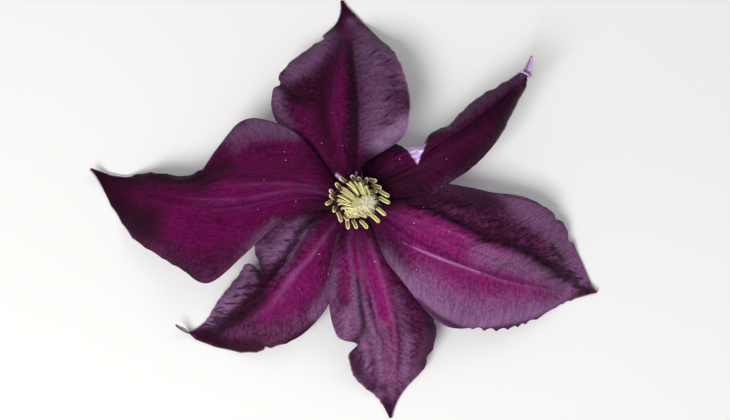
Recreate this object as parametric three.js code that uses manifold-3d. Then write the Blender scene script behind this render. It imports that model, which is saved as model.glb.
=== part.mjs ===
// A picked clematis flower, lying face up on a surface. Millimetres, +Z up.
//
// Six broad tepals (a clematis has coloured sepals in place of petals) stand round a small green receptacle.
// Each overlaps the next one clockwise, apart from the left one, which lies over both its neighbours.
// Inside them is a boss of stamens: a dome of curled-in ones and a ring of spread ones, round a tuft of styles.
// The stalk bends away under the raised upper-right tepal and lies along the surface.
// The flower rests on the flattened undersides of its other five tepals, near their tips.
// The origin is on the surface, at the middle of the flower's outline.

import * as THREE from "three";
import { mergeVertices } from "three/addons/utils/BufferGeometryUtils.js";
import Module from "manifold-3d";

const wasm = await Module();
wasm.setup();

// ---------------------------------------------------------------- driving dimensions

const FLOWER_AXIS = [4.5, -3.6]; // where the receptacle's axis stands, from the origin

const BLADE = 0.65; // tepal thickness
const ROOT_RADIUS = 3.75; // from the receptacle's axis to a tepal's base
const ROWS = 25; // cross-sections along a tepal
const COLUMNS = [0, 0.09, 0.2, 0.4, 0.6, 0.8, 1]; // rib to margin, as shares of the half-width
const SIDE_RIB = 0.2; // where the two side ribs run, as a share of the half-width
const RIB_RELIEF = 0.32; // how far the three ribs stand out of the blade

const RECEPTACLE_RADIUS = 3.3;
const RECEPTACLE_TOP = 14.9;
const RECEPTACLE_FOOT = 10.4;
const STALK_RADIUS = 1.05;
const STALK_CLEARANCE = 0.06; // under the stalk's ridges where it lies along the surface

const BOSS_FOOT = 15.2;
const BOSS_RADIUS = 3.1;
const BOSS_BORE = 1.85; // the pistil stands in here
const BOSS_TOP = 17;
const SPREAD_STAMENS = 19;
const SPREAD_REACH = 7.8; // the spread stamens' tips reach this far from the axis, and 0.7 more or less by side
const CURLED_STAMENS = 20;
const INNER_STAMENS = 12;
const FILAMENT = 0.34; // half the width of a filament
const ANTHER = [0.52, 0.36]; // half the width and half the depth of an anther

const PISTIL_RADIUS = 1.5;
const STYLES = 9;
const STYLE = 0.3; // half the width of a style

// ---------------------------------------------------------------- the six tepals

// bearing: where the tepal points, in degrees from +X. length: from the receptacle's axis to its tip.
// The lists run from base to tip at ten even stations. sway: how far the rib bends to the left of a straight line.
// rib, left.height and right.height: above the surface. width: from the rib to that margin, seen from above.
// left and right are as seen when looking from the receptacle to the tip, with the face up.
// rests: the share of the length from which the blade lies spread on the surface, over 1 where it stays in the air.
// bulge: how far a half bows up between rib and margin. ruffle: its margin's [height, waves, phase].
// nicks: places where the margin is pinched in, as [share of the length, depth, span].
const TEPALS = [
  {
    name: "tepal_top",
    bearing: 93.8,
    length: 63.9,
    sway: [0, 0.6, 1.1, 1.4, 1.3, 1.1, 0.8, 0.6, 0.4, 0],
    rests: 0.9,
    rib: [13.4, 13.2, 12.8, 12.2, 11.6, 10.4, 8.2, 4.8, 0, -0.2],
    left: {
      width: [1.5, 9, 14, 18.6, 20.6, 18.9, 14.4, 7.4, 2, 0.4],
      height: [13.2, 12.2, 11.6, 11.2, 11, 10.2, 8.2, 4.8, 0, -0.2],
      bulge: 2.2,
      ruffle: [0.9, 3.2, 0.4],
      nicks: [[0.74, 2.2, 0.02]],
    },
    right: {
      width: [1.5, 3, 14.6, 17.4, 17.7, 16.3, 13.7, 9.6, 5.4, 0.4],
      height: [13.6, 14.8, 15.4, 15, 13.8, 12, 9.2, 5.2, 0, -0.2],
      bulge: 2.4,
      ruffle: [0.7, 3.4, 0.1],
      nicks: [],
    },
  },
  {
    name: "tepal_upper_right",
    bearing: 37.6,
    length: 62.2,
    sway: [0.2, 0.8, -0.1, -1.1, -2, -2.8, -2.7, -2.1, -1, 0],
    rests: 1.2,
    rib: [13, 14.4, 16.2, 17.8, 18.8, 19.2, 18.8, 17.6, 16.2, 16.6],
    left: {
      width: [1.5, 8.4, 8.4, 5.6, 5.2, 5.2, 6.3, 4.8, 2.4, 0.4],
      height: [12.6, 10.6, 10.4, 11.2, 12, 12.6, 13, 13.8, 14.8, 16.4],
      bulge: 0.9,
      ruffle: [1, 5.2, 0.3],
      nicks: [[0.36, 3.6, 0.035]],
    },
    right: {
      width: [1.5, 6.5, 10.2, 9.5, 8.9, 7.4, 6, 3.6, 1.4, 0.4],
      height: [13, 13.9, 14.2, 13.6, 13, 12.8, 13, 13.6, 14.6, 16.6],
      bulge: 1.8,
      ruffle: [0.4, 3, 0.2],
      nicks: [],
    },
  },
  {
    name: "tepal_right",
    bearing: -18.8,
    length: 70.1,
    sway: [0, -1.2, -2.5, -3.1, -3.5, -3.7, -3.3, -2.5, -1.4, 0],
    rests: 0.9,
    rib: [12.8, 13, 13, 12.8, 12.2, 11, 8.8, 5, 0, -0.2],
    left: {
      width: [1.5, 9.8, 15.5, 17.9, 19.1, 21.3, 20.5, 17.5, 9.7, 0.4],
      height: [12.6, 11, 10, 9.4, 8.8, 7.8, 6.4, 4, 0, -0.2],
      bulge: 1.5,
      ruffle: [0.7, 4, 0.6],
      nicks: [[0.84, 1.2, 0.015]],
    },
    right: {
      width: [1.5, 9.8, 13.7, 17.8, 19.9, 17.4, 15.3, 10.6, 3.9, 0.4],
      height: [12.8, 13.6, 13.6, 12.4, 10.6, 8.6, 6.2, 3.8, 0, -0.2],
      bulge: 2,
      ruffle: [0.6, 5, 0],
      nicks: [],
    },
  },
  {
    name: "tepal_bottom",
    bearing: -80.8,
    length: 57.3,
    sway: [-0.2, -0.2, 0.1, 0.6, 1.1, 1.6, 1.9, 1.6, 0.9, 0],
    rests: 0.9,
    rib: [12.4, 12.2, 11.8, 11.2, 10.4, 9.2, 7.2, 4.2, 0, -0.2],
    left: {
      width: [1.5, 6, 9.4, 12, 13.8, 14.6, 13, 9.6, 3.2, 0.4],
      height: [12.2, 11, 10.2, 9.4, 8.2, 7, 5.4, 3.2, 0, -0.2],
      bulge: 1.2,
      ruffle: [0.7, 4, 0.5],
      nicks: [],
    },
    right: {
      width: [1.5, 6.6, 9.2, 11.6, 12.8, 12.6, 10.9, 9.5, 3.8, 0.4],
      height: [12.4, 13, 12.8, 11.8, 10.2, 8.4, 6.2, 3.6, 0, -0.2],
      bulge: 1.6,
      ruffle: [0.9, 3.6, 0.9],
      nicks: [[0.62, 4, 0.03]],
    },
  },
  {
    name: "tepal_lower_left",
    bearing: -143.7,
    length: 58.6,
    sway: [0.2, 1, 2.7, 4.5, 5.8, 6.2, 5.4, 4.2, 2.4, 0],
    rests: 0.88,
    rib: [11.8, 11.4, 11, 10.6, 9.8, 8.4, 6.3, 3, -0.3, 1.4],
    left: {
      width: [1.5, 7.6, 10.6, 12.5, 12.9, 12.8, 12, 10.3, 6, 0.4],
      height: [11.6, 10, 9, 8.2, 7.4, 6.4, 4.8, 2.4, -0.3, 1.4],
      bulge: 0.9,
      ruffle: [0.5, 3, 0.3],
      nicks: [],
    },
    right: {
      width: [1.5, 7.4, 11.2, 13.7, 14.4, 11.6, 8.9, 6.2, 2.7, 0.4],
      height: [11.8, 10.8, 10, 9.2, 8.2, 7, 5.4, 2.6, -0.3, 1.4],
      bulge: 1.6,
      ruffle: [0.9, 4.2, 0.2],
      nicks: [[0.5, 5, 0.03]],
    },
  },
  {
    name: "tepal_left",
    bearing: 170.7,
    length: 76.3,
    sway: [0, -0.3, 1.1, 2.8, 3.5, 3.8, 3.8, 3.2, 1.9, 0],
    rests: 0.88,
    rib: [14, 14.2, 14.2, 13.6, 12.6, 10.8, 8.2, 4, -0.3, 1.8],
    left: {
      width: [1.5, 4.1, 7.9, 16.2, 24, 20.9, 17.6, 14.2, 7.8, 0.4],
      height: [14, 13.8, 13.4, 12.8, 11.4, 9.2, 6.6, 3.2, -0.3, 1.8],
      bulge: 1.4,
      ruffle: [0.7, 4, 0.2],
      nicks: [],
    },
    right: {
      width: [1.5, 9.7, 17.6, 21.5, 20.4, 6.4, 4.8, 4.2, 2, 0.4],
      height: [14, 14.8, 15, 14.4, 13, 11, 8, 4, -0.3, 1.8],
      bulge: 1.8,
      ruffle: [0.8, 5.2, 0.4],
      nicks: [],
    },
  },
];

// ---------------------------------------------------------------- small helpers

const radians = THREE.MathUtils.degToRad;
const smoothstep = THREE.MathUtils.smoothstep;

// A value between evenly spaced stations, on a smooth curve through all of them.
function atStation(values, share) {
  const place = THREE.MathUtils.clamp(share, 0, 1) * (values.length - 1);
  const i = Math.min(Math.floor(place), values.length - 2);
  const t = place - i;
  const [p0, p1, p2, p3] = [i - 1, i, i + 1, i + 2].map(
    (k) => values[THREE.MathUtils.clamp(k, 0, values.length - 1)],
  );
  const rise = (p2 - p0) / 2;
  const fall = (p3 - p1) / 2;
  return (
    p1 +
    rise * t +
    (3 * (p2 - p1) - 2 * rise - fall) * t * t +
    (2 * (p1 - p2) + rise + fall) * t * t * t
  );
}

// Repeatable random numbers from 0 to 1.
function seeded(seed) {
  let state = seed;
  return () => {
    state = (state * 1664525 + 1013904223) % 4294967296;
    return state / 4294967296;
  };
}

function geometryOf(points, triangles) {
  const geometry = new THREE.BufferGeometry();
  geometry.setAttribute(
    "position",
    new THREE.Float32BufferAttribute(points.flatMap((p) => p.toArray()), 3),
  );
  geometry.setIndex(triangles);
  return geometry;
}

// A closed mesh as a manifold-3d solid, and back.
function solidOf(geometry) {
  const bare = geometry.clone();
  bare.deleteAttribute("normal");
  bare.deleteAttribute("uv");
  const merged = mergeVertices(bare, 1e-4);
  return new wasm.Manifold(
    new wasm.Mesh({
      numProp: 3,
      vertProperties: merged.attributes.position.array,
      triVerts: new Uint32Array(merged.index.array),
    }),
  );
}

function geometryFrom(solid) {
  const mesh = solid.getMesh();
  const geometry = new THREE.BufferGeometry();
  geometry.setAttribute(
    "position",
    new THREE.BufferAttribute(mesh.vertProperties, mesh.numProp),
  );
  geometry.setIndex(new THREE.BufferAttribute(mesh.triVerts, 1));
  return geometry;
}

function fuse(geometries) {
  return geometryFrom(wasm.Manifold.union(geometries.map(solidOf)));
}

// ---------------------------------------------------------------- tepal

// The middle of a tepal's blade. along: 0 at the base, 1 at the tip. across: -1 at the right margin, 1 at the left.
function bladePoint(tepal, along, across) {
  const side = across < 0 ? tepal.right : tepal.left;
  const out = Math.abs(across);
  const [waveHeight, waves, phase] = side.ruffle;
  const spread = 1 - smoothstep(along, tepal.rests - 0.16, tepal.rests);
  const body = spread * Math.sqrt(Math.sin(Math.PI * Math.min(Math.max(along, 0), 1)));
  const nick = side.nicks.reduce(
    (sum, [at, depth, span]) =>
      sum + depth * Math.exp(-(((along - at) / span) ** 2)),
    0,
  );
  const width = Math.max(atStation(side.width, along) - nick, 0.4);
  const rib = atStation(tepal.rib, along);
  const margin = atStation(side.height, along);
  const ridges =
    Math.cos((2 * Math.PI * out) / SIDE_RIB) *
    (1 - smoothstep(out, SIDE_RIB, 2 * SIDE_RIB));
  const height =
    rib +
    (margin - rib) * out ** 1.7 +
    side.bulge * body * Math.sin(Math.PI * out) +
    waveHeight *
      body *
      smoothstep(out, 0.45, 1) *
      Math.sin(2 * Math.PI * (waves * along + phase)) +
    RIB_RELIEF * body * ridges;
  const forward = THREE.MathUtils.lerp(ROOT_RADIUS, tepal.length, along);
  const sideways = atStation(tepal.sway, along) + Math.sign(across) * width * out;
  const bearing = radians(tepal.bearing);
  return new THREE.Vector3(
    forward * Math.cos(bearing) - sideways * Math.sin(bearing),
    forward * Math.sin(bearing) + sideways * Math.cos(bearing),
    height,
  );
}

// Which way the blade faces, from two short steps on it.
function bladeNormal(tepal, along, across) {
  const step = 0.01;
  const [a0, a1] = [Math.max(along - step, 0), Math.min(along + step, 1)];
  const [c0, c1] = [Math.max(across - step, -1), Math.min(across + step, 1)];
  const forward = bladePoint(tepal, a1, across).sub(bladePoint(tepal, a0, across));
  const left = bladePoint(tepal, along, c1).sub(bladePoint(tepal, along, c0));
  return forward.cross(left).normalize();
}

// A closed blade: an upper and a lower skin with the same triangles, and a rim between them.
// Where the lower skin would pass through the surface that the flower lies on, the blade is pressed flat.
function tepalGeometry(tepal) {
  const across = [...COLUMNS.slice(1).reverse().map((c) => -c), ...COLUMNS];
  const upper = [];
  const lower = [];
  for (let row = 0; row < ROWS; row++) {
    const along = row / (ROWS - 1);
    for (const share of across) {
      const middle = bladePoint(tepal, along, share);
      const half = bladeNormal(tepal, along, share).multiplyScalar(BLADE / 2);
      const under = middle.clone().sub(half);
      const over = middle.clone().add(half);
      const lift = Math.max(-under.z, 0);
      under.z += lift;
      over.z = Math.max(over.z, lift > 0 ? under.z + BLADE : over.z);
      upper.push(over);
      lower.push(under);
    }
  }
  const count = across.length;
  const below = upper.length;
  const triangles = [];
  for (let row = 0; row < ROWS - 1; row++)
    for (let column = 0; column < count - 1; column++) {
      const a = row * count + column;
      const [b, c, d] = [a + 1, a + count, a + count + 1];
      triangles.push(a, c, b, b, c, d);
      triangles.push(below + a, below + b, below + c, below + b, below + d, below + c);
    }
  const rim = [];
  for (let column = 0; column < count; column++) rim.push(column);
  for (let row = 1; row < ROWS; row++) rim.push(row * count + count - 1);
  for (let column = count - 2; column >= 0; column--) rim.push((ROWS - 1) * count + column);
  for (let row = ROWS - 2; row > 0; row--) rim.push(row * count);
  rim.forEach((a, i) => {
    const b = rim[(i + 1) % rim.length];
    triangles.push(a, b, below + a, b, below + b, below + a);
  });
  return geometryOf([...upper, ...lower], triangles);
}

// ---------------------------------------------------------------- receptacle and stalk

// The stalk leaves the receptacle downwards, bends over and lies along the surface to its slanting cut end.
const STALK_LOW = STALK_RADIUS + STALK_CLEARANCE;
const STALK_ROUTE = new THREE.CatmullRomCurve3(
  [
    [0, 0, RECEPTACLE_FOOT + 1.4],
    [0.1, 0.1, 9],
    [1, 0.9, 5.6],
    [3.6, 3.8, 2.6],
    [8, 8.2, STALK_LOW + 0.1],
    [15, 14.6, STALK_LOW],
    [26, 24, STALK_LOW],
    [38, 32.6, STALK_LOW],
  ].map((p) => new THREE.Vector3(...p)),
  false,
  "centripetal",
);
const STALK_STEPS = 30;
const STALK_RIDGES = 6;

function stalkGeometry() {
  const section = new THREE.Shape();
  for (let i = 0; i < 2 * STALK_RIDGES; i++) {
    const angle = (i * Math.PI) / STALK_RIDGES;
    const radius = STALK_RADIUS * (i % 2 ? 0.84 : 1);
    const [x, y] = [radius * Math.cos(angle), radius * Math.sin(angle)];
    if (i) section.lineTo(x, y);
    else section.moveTo(x, y);
  }
  return new THREE.ExtrudeGeometry(section, {
    steps: STALK_STEPS,
    extrudePath: STALK_ROUTE,
  });
}

function receptacleGeometry() {
  const profile = [
    [0, RECEPTACLE_FOOT],
    [1.25, RECEPTACLE_FOOT],
    [2.3, RECEPTACLE_FOOT + 0.5],
    [RECEPTACLE_RADIUS, RECEPTACLE_FOOT + 1.1],
    [RECEPTACLE_RADIUS, RECEPTACLE_TOP - 0.4],
    [2.8, RECEPTACLE_TOP],
    [0, RECEPTACLE_TOP],
  ].map((p) => new THREE.Vector2(...p));
  return new THREE.LatheGeometry(profile, 20).rotateX(Math.PI / 2);
}

// ---------------------------------------------------------------- stamens and pistil

// A strand along a smooth curve, with a flattened four-sided section. sizes: [half-width, half-depth] at each ring.
function strandGeometry(route, sizes, sideways) {
  const curve = new THREE.CatmullRomCurve3(route, false, "centripetal");
  const points = [];
  sizes.forEach(([halfWidth, halfDepth], ring) => {
    const share = ring / (sizes.length - 1);
    const middle = curve.getPointAt(share);
    const wide = sideways.clone().multiplyScalar(halfWidth);
    const deep = curve
      .getTangentAt(share)
      .cross(sideways)
      .normalize()
      .multiplyScalar(halfDepth);
    points.push(
      middle.clone().add(wide),
      middle.clone().add(deep),
      middle.clone().sub(wide),
      middle.clone().sub(deep),
    );
  });
  const triangles = [0, 3, 1, 1, 3, 2];
  for (let ring = 0; ring < sizes.length - 1; ring++)
    for (let corner = 0; corner < 4; corner++) {
      const a = ring * 4 + corner;
      const b = ring * 4 + ((corner + 1) % 4);
      triangles.push(a, b, a + 4, b, b + 4, a + 4);
    }
  const last = 4 * (sizes.length - 1);
  triangles.push(last, last + 1, last + 3, last + 1, last + 2, last + 3);
  return geometryOf(points, triangles);
}

// A point of a stamen or style in the upright plane at an angle round the axis.
function roundAxis(angle, radius, height, drift = 0) {
  return new THREE.Vector3(
    radius * Math.cos(angle) - drift * Math.sin(angle),
    radius * Math.sin(angle) + drift * Math.cos(angle),
    height,
  );
}

const ANTHER_SIZES = [
  [FILAMENT, FILAMENT],
  [FILAMENT, FILAMENT],
  ANTHER,
  ANTHER,
  ANTHER,
  [0.36, 0.3],
];

function stamen(angle, profile, drift = 0) {
  const route = profile.map(([radius, height], i) =>
    roundAxis(angle, radius, height, (drift * i) / (profile.length - 1)),
  );
  const sideways = new THREE.Vector3(-Math.sin(angle), Math.cos(angle), 0);
  return strandGeometry(route, ANTHER_SIZES, sideways);
}

function stamensGeometry() {
  const random = seeded(11);
  const vary = (amount) => amount * (2 * random() - 1);
  const ring = [
    [BOSS_BORE, BOSS_FOOT],
    [BOSS_RADIUS, BOSS_FOOT],
    [BOSS_RADIUS, BOSS_TOP - 0.6],
    [2.6, BOSS_TOP],
    [BOSS_BORE, BOSS_TOP],
    [BOSS_BORE, BOSS_FOOT],
  ].map((p) => new THREE.Vector2(...p));
  const pieces = [new THREE.LatheGeometry(ring, 20).rotateX(Math.PI / 2)];
  for (let i = 0; i < SPREAD_STAMENS; i++) {
    const angle = (2 * Math.PI * (i + vary(0.2))) / SPREAD_STAMENS;
    const reach = SPREAD_REACH + 0.7 * Math.cos(2 * angle) + vary(0.4);
    const droop = vary(0.4);
    pieces.push(
      stamen(
        angle,
        [
          [2.5, 15.9],
          [4.2, 17],
          [6, 17.9 + droop / 2],
          [reach, 17.5 + droop],
        ],
        vary(1),
      ),
    );
  }
  for (let i = 0; i < CURLED_STAMENS; i++) {
    const angle = (2 * Math.PI * (i + vary(0.15))) / CURLED_STAMENS;
    pieces.push(
      stamen(angle, [
        [2.5, 16.2],
        [4.4, 18.2],
        [4.9, 20],
        [3.9, 21.8],
        [2.1, 22.6 + vary(0.25)],
      ]),
    );
  }
  for (let i = 0; i < INNER_STAMENS; i++) {
    const angle = (2 * Math.PI * (i + 0.5 + vary(0.15))) / INNER_STAMENS;
    pieces.push(
      stamen(angle, [
        [2.3, 16.5],
        [3.5, 18.4],
        [3.9, 20],
        [3.1, 21.4],
        [2.1, 22 + vary(0.2)],
      ]),
    );
  }
  return fuse(pieces);
}

function pistilGeometry() {
  const random = seeded(5);
  const core = [
    [0, BOSS_FOOT],
    [PISTIL_RADIUS, BOSS_FOOT],
    [PISTIL_RADIUS, BOSS_FOOT + 1.8],
    [0, BOSS_FOOT + 4.4],
  ].map((p) => new THREE.Vector2(...p));
  const pieces = [new THREE.LatheGeometry(core, 12).rotateX(Math.PI / 2)];
  for (let i = 0; i < STYLES; i++) {
    const angle = i * 2.4;
    const out = 1.15 * Math.sqrt((i + 0.3) / STYLES);
    const top = 23.6 - 0.5 * out + 0.4 * random();
    pieces.push(
      strandGeometry(
        [
          roundAxis(angle, 0.8 * out, BOSS_FOOT + 0.9),
          roundAxis(angle, out, BOSS_FOOT + 4),
          roundAxis(angle, out + 0.1, top),
        ],
        [
          [STYLE, STYLE],
          [STYLE, STYLE],
          [STYLE, STYLE],
          [STYLE, STYLE],
        ],
        new THREE.Vector3(-Math.sin(angle), Math.cos(angle), 0),
      ),
    );
  }
  return fuse(pieces);
}

// ---------------------------------------------------------------- assembly

const tepalMaterial = new THREE.MeshStandardMaterial({
  color: "#4c1540",
  roughness: 0.55,
  metalness: 0,
  side: THREE.DoubleSide,
});
const stamenMaterial = new THREE.MeshStandardMaterial({
  color: "#d6d191",
  roughness: 0.6,
  metalness: 0,
});
const pistilMaterial = new THREE.MeshStandardMaterial({
  color: "#e4e3c4",
  roughness: 0.7,
  metalness: 0,
});
const stalkMaterial = new THREE.MeshStandardMaterial({
  color: "#6d7a3c",
  roughness: 0.6,
  metalness: 0,
});

function named(name, geometry, material) {
  const mesh = new THREE.Mesh(geometry, material);
  mesh.name = name;
  return mesh;
}

const flower = new THREE.Group();
flower.position.set(...FLOWER_AXIS, 0);
for (const tepal of TEPALS)
  flower.add(named(tepal.name, tepalGeometry(tepal), tepalMaterial));
flower.add(named("stamens", stamensGeometry(), stamenMaterial));
flower.add(named("pistil", pistilGeometry(), pistilMaterial));
flower.add(
  named("stalk", fuse([stalkGeometry(), receptacleGeometry()]), stalkMaterial),
);

export default flower;
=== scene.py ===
# A picked clematis flower lying face up on a pale table.
#
# Blender's units are metres. Sizes below are in millimetres, and are turned into metres where a mesh gets its
# shape. The tepals' outlines are nearly those of the solids.

import math
import random

import bpy
import numpy as np
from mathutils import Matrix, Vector


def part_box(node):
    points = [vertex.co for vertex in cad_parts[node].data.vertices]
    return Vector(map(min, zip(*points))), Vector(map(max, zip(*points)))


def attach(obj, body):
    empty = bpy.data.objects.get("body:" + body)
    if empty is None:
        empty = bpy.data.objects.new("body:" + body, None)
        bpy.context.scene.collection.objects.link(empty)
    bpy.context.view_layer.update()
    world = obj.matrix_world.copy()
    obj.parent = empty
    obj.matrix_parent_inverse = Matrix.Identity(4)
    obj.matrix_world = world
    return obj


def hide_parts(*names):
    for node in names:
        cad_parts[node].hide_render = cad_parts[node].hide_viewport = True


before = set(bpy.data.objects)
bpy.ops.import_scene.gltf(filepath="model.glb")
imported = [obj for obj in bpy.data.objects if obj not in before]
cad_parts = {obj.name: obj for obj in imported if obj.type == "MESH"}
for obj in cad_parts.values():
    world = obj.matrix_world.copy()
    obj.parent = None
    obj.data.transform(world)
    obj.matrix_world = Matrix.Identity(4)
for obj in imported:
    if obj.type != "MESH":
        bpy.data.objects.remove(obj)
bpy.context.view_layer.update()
bpy.ops.object.select_all(action="DESELECT")

MM = 0.001

# ------------------------------------------------------------------ driving dimensions

core_low, core_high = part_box("pistil")
AXIS = np.array([(core_low[0] + core_high[0]) / 2, (core_low[1] + core_high[1]) / 2, 0]) / MM

BLADE = 0.42  # a tepal's thickness
FLOOR_CLEARANCE = 0.24  # the least height of a blade's middle
ROOT_RADIUS = 3.75  # from the receptacle's axis to a tepal's base
ROWS = 220  # along a tepal
COLUMNS = 140  # across it
SIDE_RIB = 0.2  # where the side ribs run, as a share of the half-width
RIB_RELIEF = 0.2  # how far the three ribs stand out of a blade
TUCK_DEPTH = 0.8  # how far a tuck sinks
SETTLING = 0.16  # the share of its length over which a blade comes to lie spread on the table
TABLE_SOFTNESS = 0.3  # how gently a blade settles on the table
COLUMN_SPREAD = 0.9  # under 1, the columns stand closer together at the margins
SLOPE_STEP = 0.004  # the share over which a blade's slope is read
MARGIN_SHEEN = 0.3  # painted greyish sheen along every margin, but for its base
FAR = 1e9  # further than any blade reaches

NOISE_KNOTS = 61  # a cloud repeats after so many swells
TOOTH_SIZE_SEED = 31
TOOTH_PLACE_SEED = 33
TUCK_SEED = 41
PUCKER_SEED = 77
# What each cloud in a blade's relief adds to its tepal's own seed.
WARP, FOLD_PATCHES, FOLDS, VEINS, WRINKLES, SWELL = 5, 7, 9, 13, 17, 21

# A tepal's outline and heights have the solids' words, and their numbers but for widths near base or tip, one
# height and most nicks. Lists of ten run from base to tip. Left and right are as seen from the receptacle.
# Places on a blade are [share along, share across]: across runs from -1 at the right margin through 0 at the
# rib to 1 at the left margin.
#
# bearing: where it points, in degrees from +X. length: from the receptacle's axis to its tip.
# sway: how far its rib bends to the left. rib, height: above the table. width: from the rib to that margin.
# rests: the share of the length from which it lies spread on the table. bulge: how far a half bows up.
# ruffle: its margin's [height, waves, phase]. nicks: [share of the length, depth, span].
# painted_light: how light its face is painted: painted shade on the tepals that face away from the light.
# ground: how magenta the whole blade is, and how much painted greyish sheen it has, under its strokes.
# ribs: [places, width, height, paleness] of a raised line; a height under 0 is a groove.
# glow, painted_sheen, shade: [places, width, strength] of a soft stroke of magenta, of painted greyish mauve
# sheen, of painted near black shade.
# lilac_and_highlights: the same, of pale lilac; some are painted highlights.
# In each half, folds: [height, spacing, from this share out]; slant: how far its veins lean to the tip.
# creases: [places, depth, width, wrinkles beside it]; teeth: [from, to, depth, spacing].
# rim: [from, to, strength] of a pale line along the margin.
# wrinkles: strokes where the blade is finely puckered, with painted shade in its puckers.
# In each half, lean: how far the puckers lean to the tip, at the base and at the tip.
# tuck: corners, in millimetres across and out from the axis, of a V pinched under the margin.
# tip: where it starts to turn and where it has turned, how far, and how it lifts and swings to the left.
TOP_TEPAL = {
    "name": "tepal_top",
    "bearing": 93.8,
    "length": 63.9,
    "sway": [0, 0.6, 1.1, 1.4, 1.3, 1.1, 0.8, 0.6, 0.4, 0],
    "rests": 0.9,
    "rib": [13.4, 13.2, 12.8, 12.2, 11.6, 10.4, 8.2, 4.8, 0, -0.2],
    "painted_light": 0.66,
    "ground": [0.12, 0.06],
    "ribs": [
        [[[0.02, 0.1], [0.2, 0.16], [0.45, 0.16], [0.75, 0.12]], 0.4, 0.08, 0.25],
        [[[0.04, -0.2], [0.2, -0.24], [0.45, -0.24], [0.75, -0.2]], 0.4, 0.08, 0.2],
    ],
    "glow": [
        [[[0.04, 0.2], [0.2, 0.25], [0.4, 0.1], [0.7, 0.04], [0.84, 0.0]], 2.3, 0.62],
        [[[0.14, 0.7], [0.35, 0.62]], 4.5, 0.4],
        [[[0.3, 0.2], [0.5, 0.2], [0.7, 0.12]], 2.2, 0.35],
        [[[0.08, -0.1], [0.2, -0.2]], 2.5, 0.5],
    ],
    "painted_sheen": [
        [[[0.25, -0.5], [0.48, -0.55], [0.7, -0.55]], 5.5, 0.68],
        [[[0.19, -0.62], [0.24, -0.72], [0.27, -0.95]], 2.8, 0.98],
        [[[0.57, 0.9], [0.64, 0.62], [0.76, 0.45]], 3.6, 0.9],
        [[[0.88, -0.4], [0.8, -0.6], [0.62, -0.9], [0.5, -0.97]], 2.0, 0.7],
        [[[0.3, 0.95], [0.42, 0.92], [0.5, 0.97]], 2.2, 0.55],
    ],
    "shade": [
        [[[0.1, -0.14], [0.33, -0.15], [0.53, -0.14], [0.76, -0.1]], 1.2, 0.6],
        [[[0.2, 0.35], [0.35, 0.3], [0.5, 0.26], [0.75, 0.16]], 3.0, 0.62],
        [[[0.56, 0.95], [0.5, 0.7], [0.42, 0.55]], 1.6, 0.6],
        [[[0.1, -0.6], [0.14, -0.9], [0.16, -0.95]], 1.6, 0.5],
        [[[0.88, 0.4], [0.98, 0.1]], 1.8, 0.5],
    ],
    "wrinkles": [
        [[[0.3, -0.75], [0.5, -0.75], [0.75, -0.65]], 4.5, 0.42],
        [[[0.58, 0.95], [0.52, 0.75], [0.45, 0.5]], 2.2, 0.8],
        [[[0.5, 0.35], [0.7, 0.3], [0.85, 0.3]], 2.4, 0.5],
    ],
    # Painted highlights: two glints by the base, and the lit lower end of the right lobe.
    "lilac_and_highlights": [
        [[[0.05, 0.62], [0.075, 0.66]], 0.35, 0.7],
        [[[0.06, -0.35], [0.075, -0.45]], 0.25, 0.4],
        [[[0.2, -0.66], [0.25, -0.8], [0.29, -0.93]], 2.0, 0.13],
    ],
    "left": {
        "width": [2.4, 9, 14, 18.6, 20.6, 18.9, 14.4, 7.4, 2, 0.4],
        "height": [13.2, 12.2, 11.6, 11.2, 11, 10.2, 8.2, 4.8, 0, -0.2],
        "bulge": 2.2,
        "ruffle": [0.9, 3.2, 0.4],
        "nicks": [[0.54, 1.3, 0.016], [0.78, 1.6, 0.014]],
        "folds": [0.3, 3.4, 0.45],
        "slant": 0.5,
        "lean": [0.6, 0.8],
        "creases": [[[[0.55, 1], [0.5, 0.8], [0.43, 0.55]], 0.55, 1.0, 0.1]],
        "teeth": [0.5, 0.8, 0.25, 0.05],
        "rim": [0.55, 0.95, 0.35],
    },
    "right": {
        "width": [2, 3.2, 14.6, 17.4, 17.7, 16.3, 13.7, 9.6, 5.4, 0.4],
        "height": [13.6, 14.8, 15.4, 15, 13.8, 12, 9.2, 5.2, 0, -0.2],
        "bulge": 2.4,
        "ruffle": [0.7, 3.4, 0.1],
        "nicks": [],
        "folds": [0.55, 2.6, 0.3],
        "slant": 0.1,
        "lean": [0.5, 0.6],
        "creases": [[[[0.08, -0.1], [0.33, -0.12], [0.55, -0.12], [0.8, -0.1]], 0.8, 1.5, 0.05]],
        "teeth": [0.3, 0.9, 0.12, 0.06],
        "rim": [0.2, 0.95, 0.4],
    },
    "tip": {"from": 0.93, "to": 1.1, "twist": 35, "lift": 0.6, "swing": 0.4},
}

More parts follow.
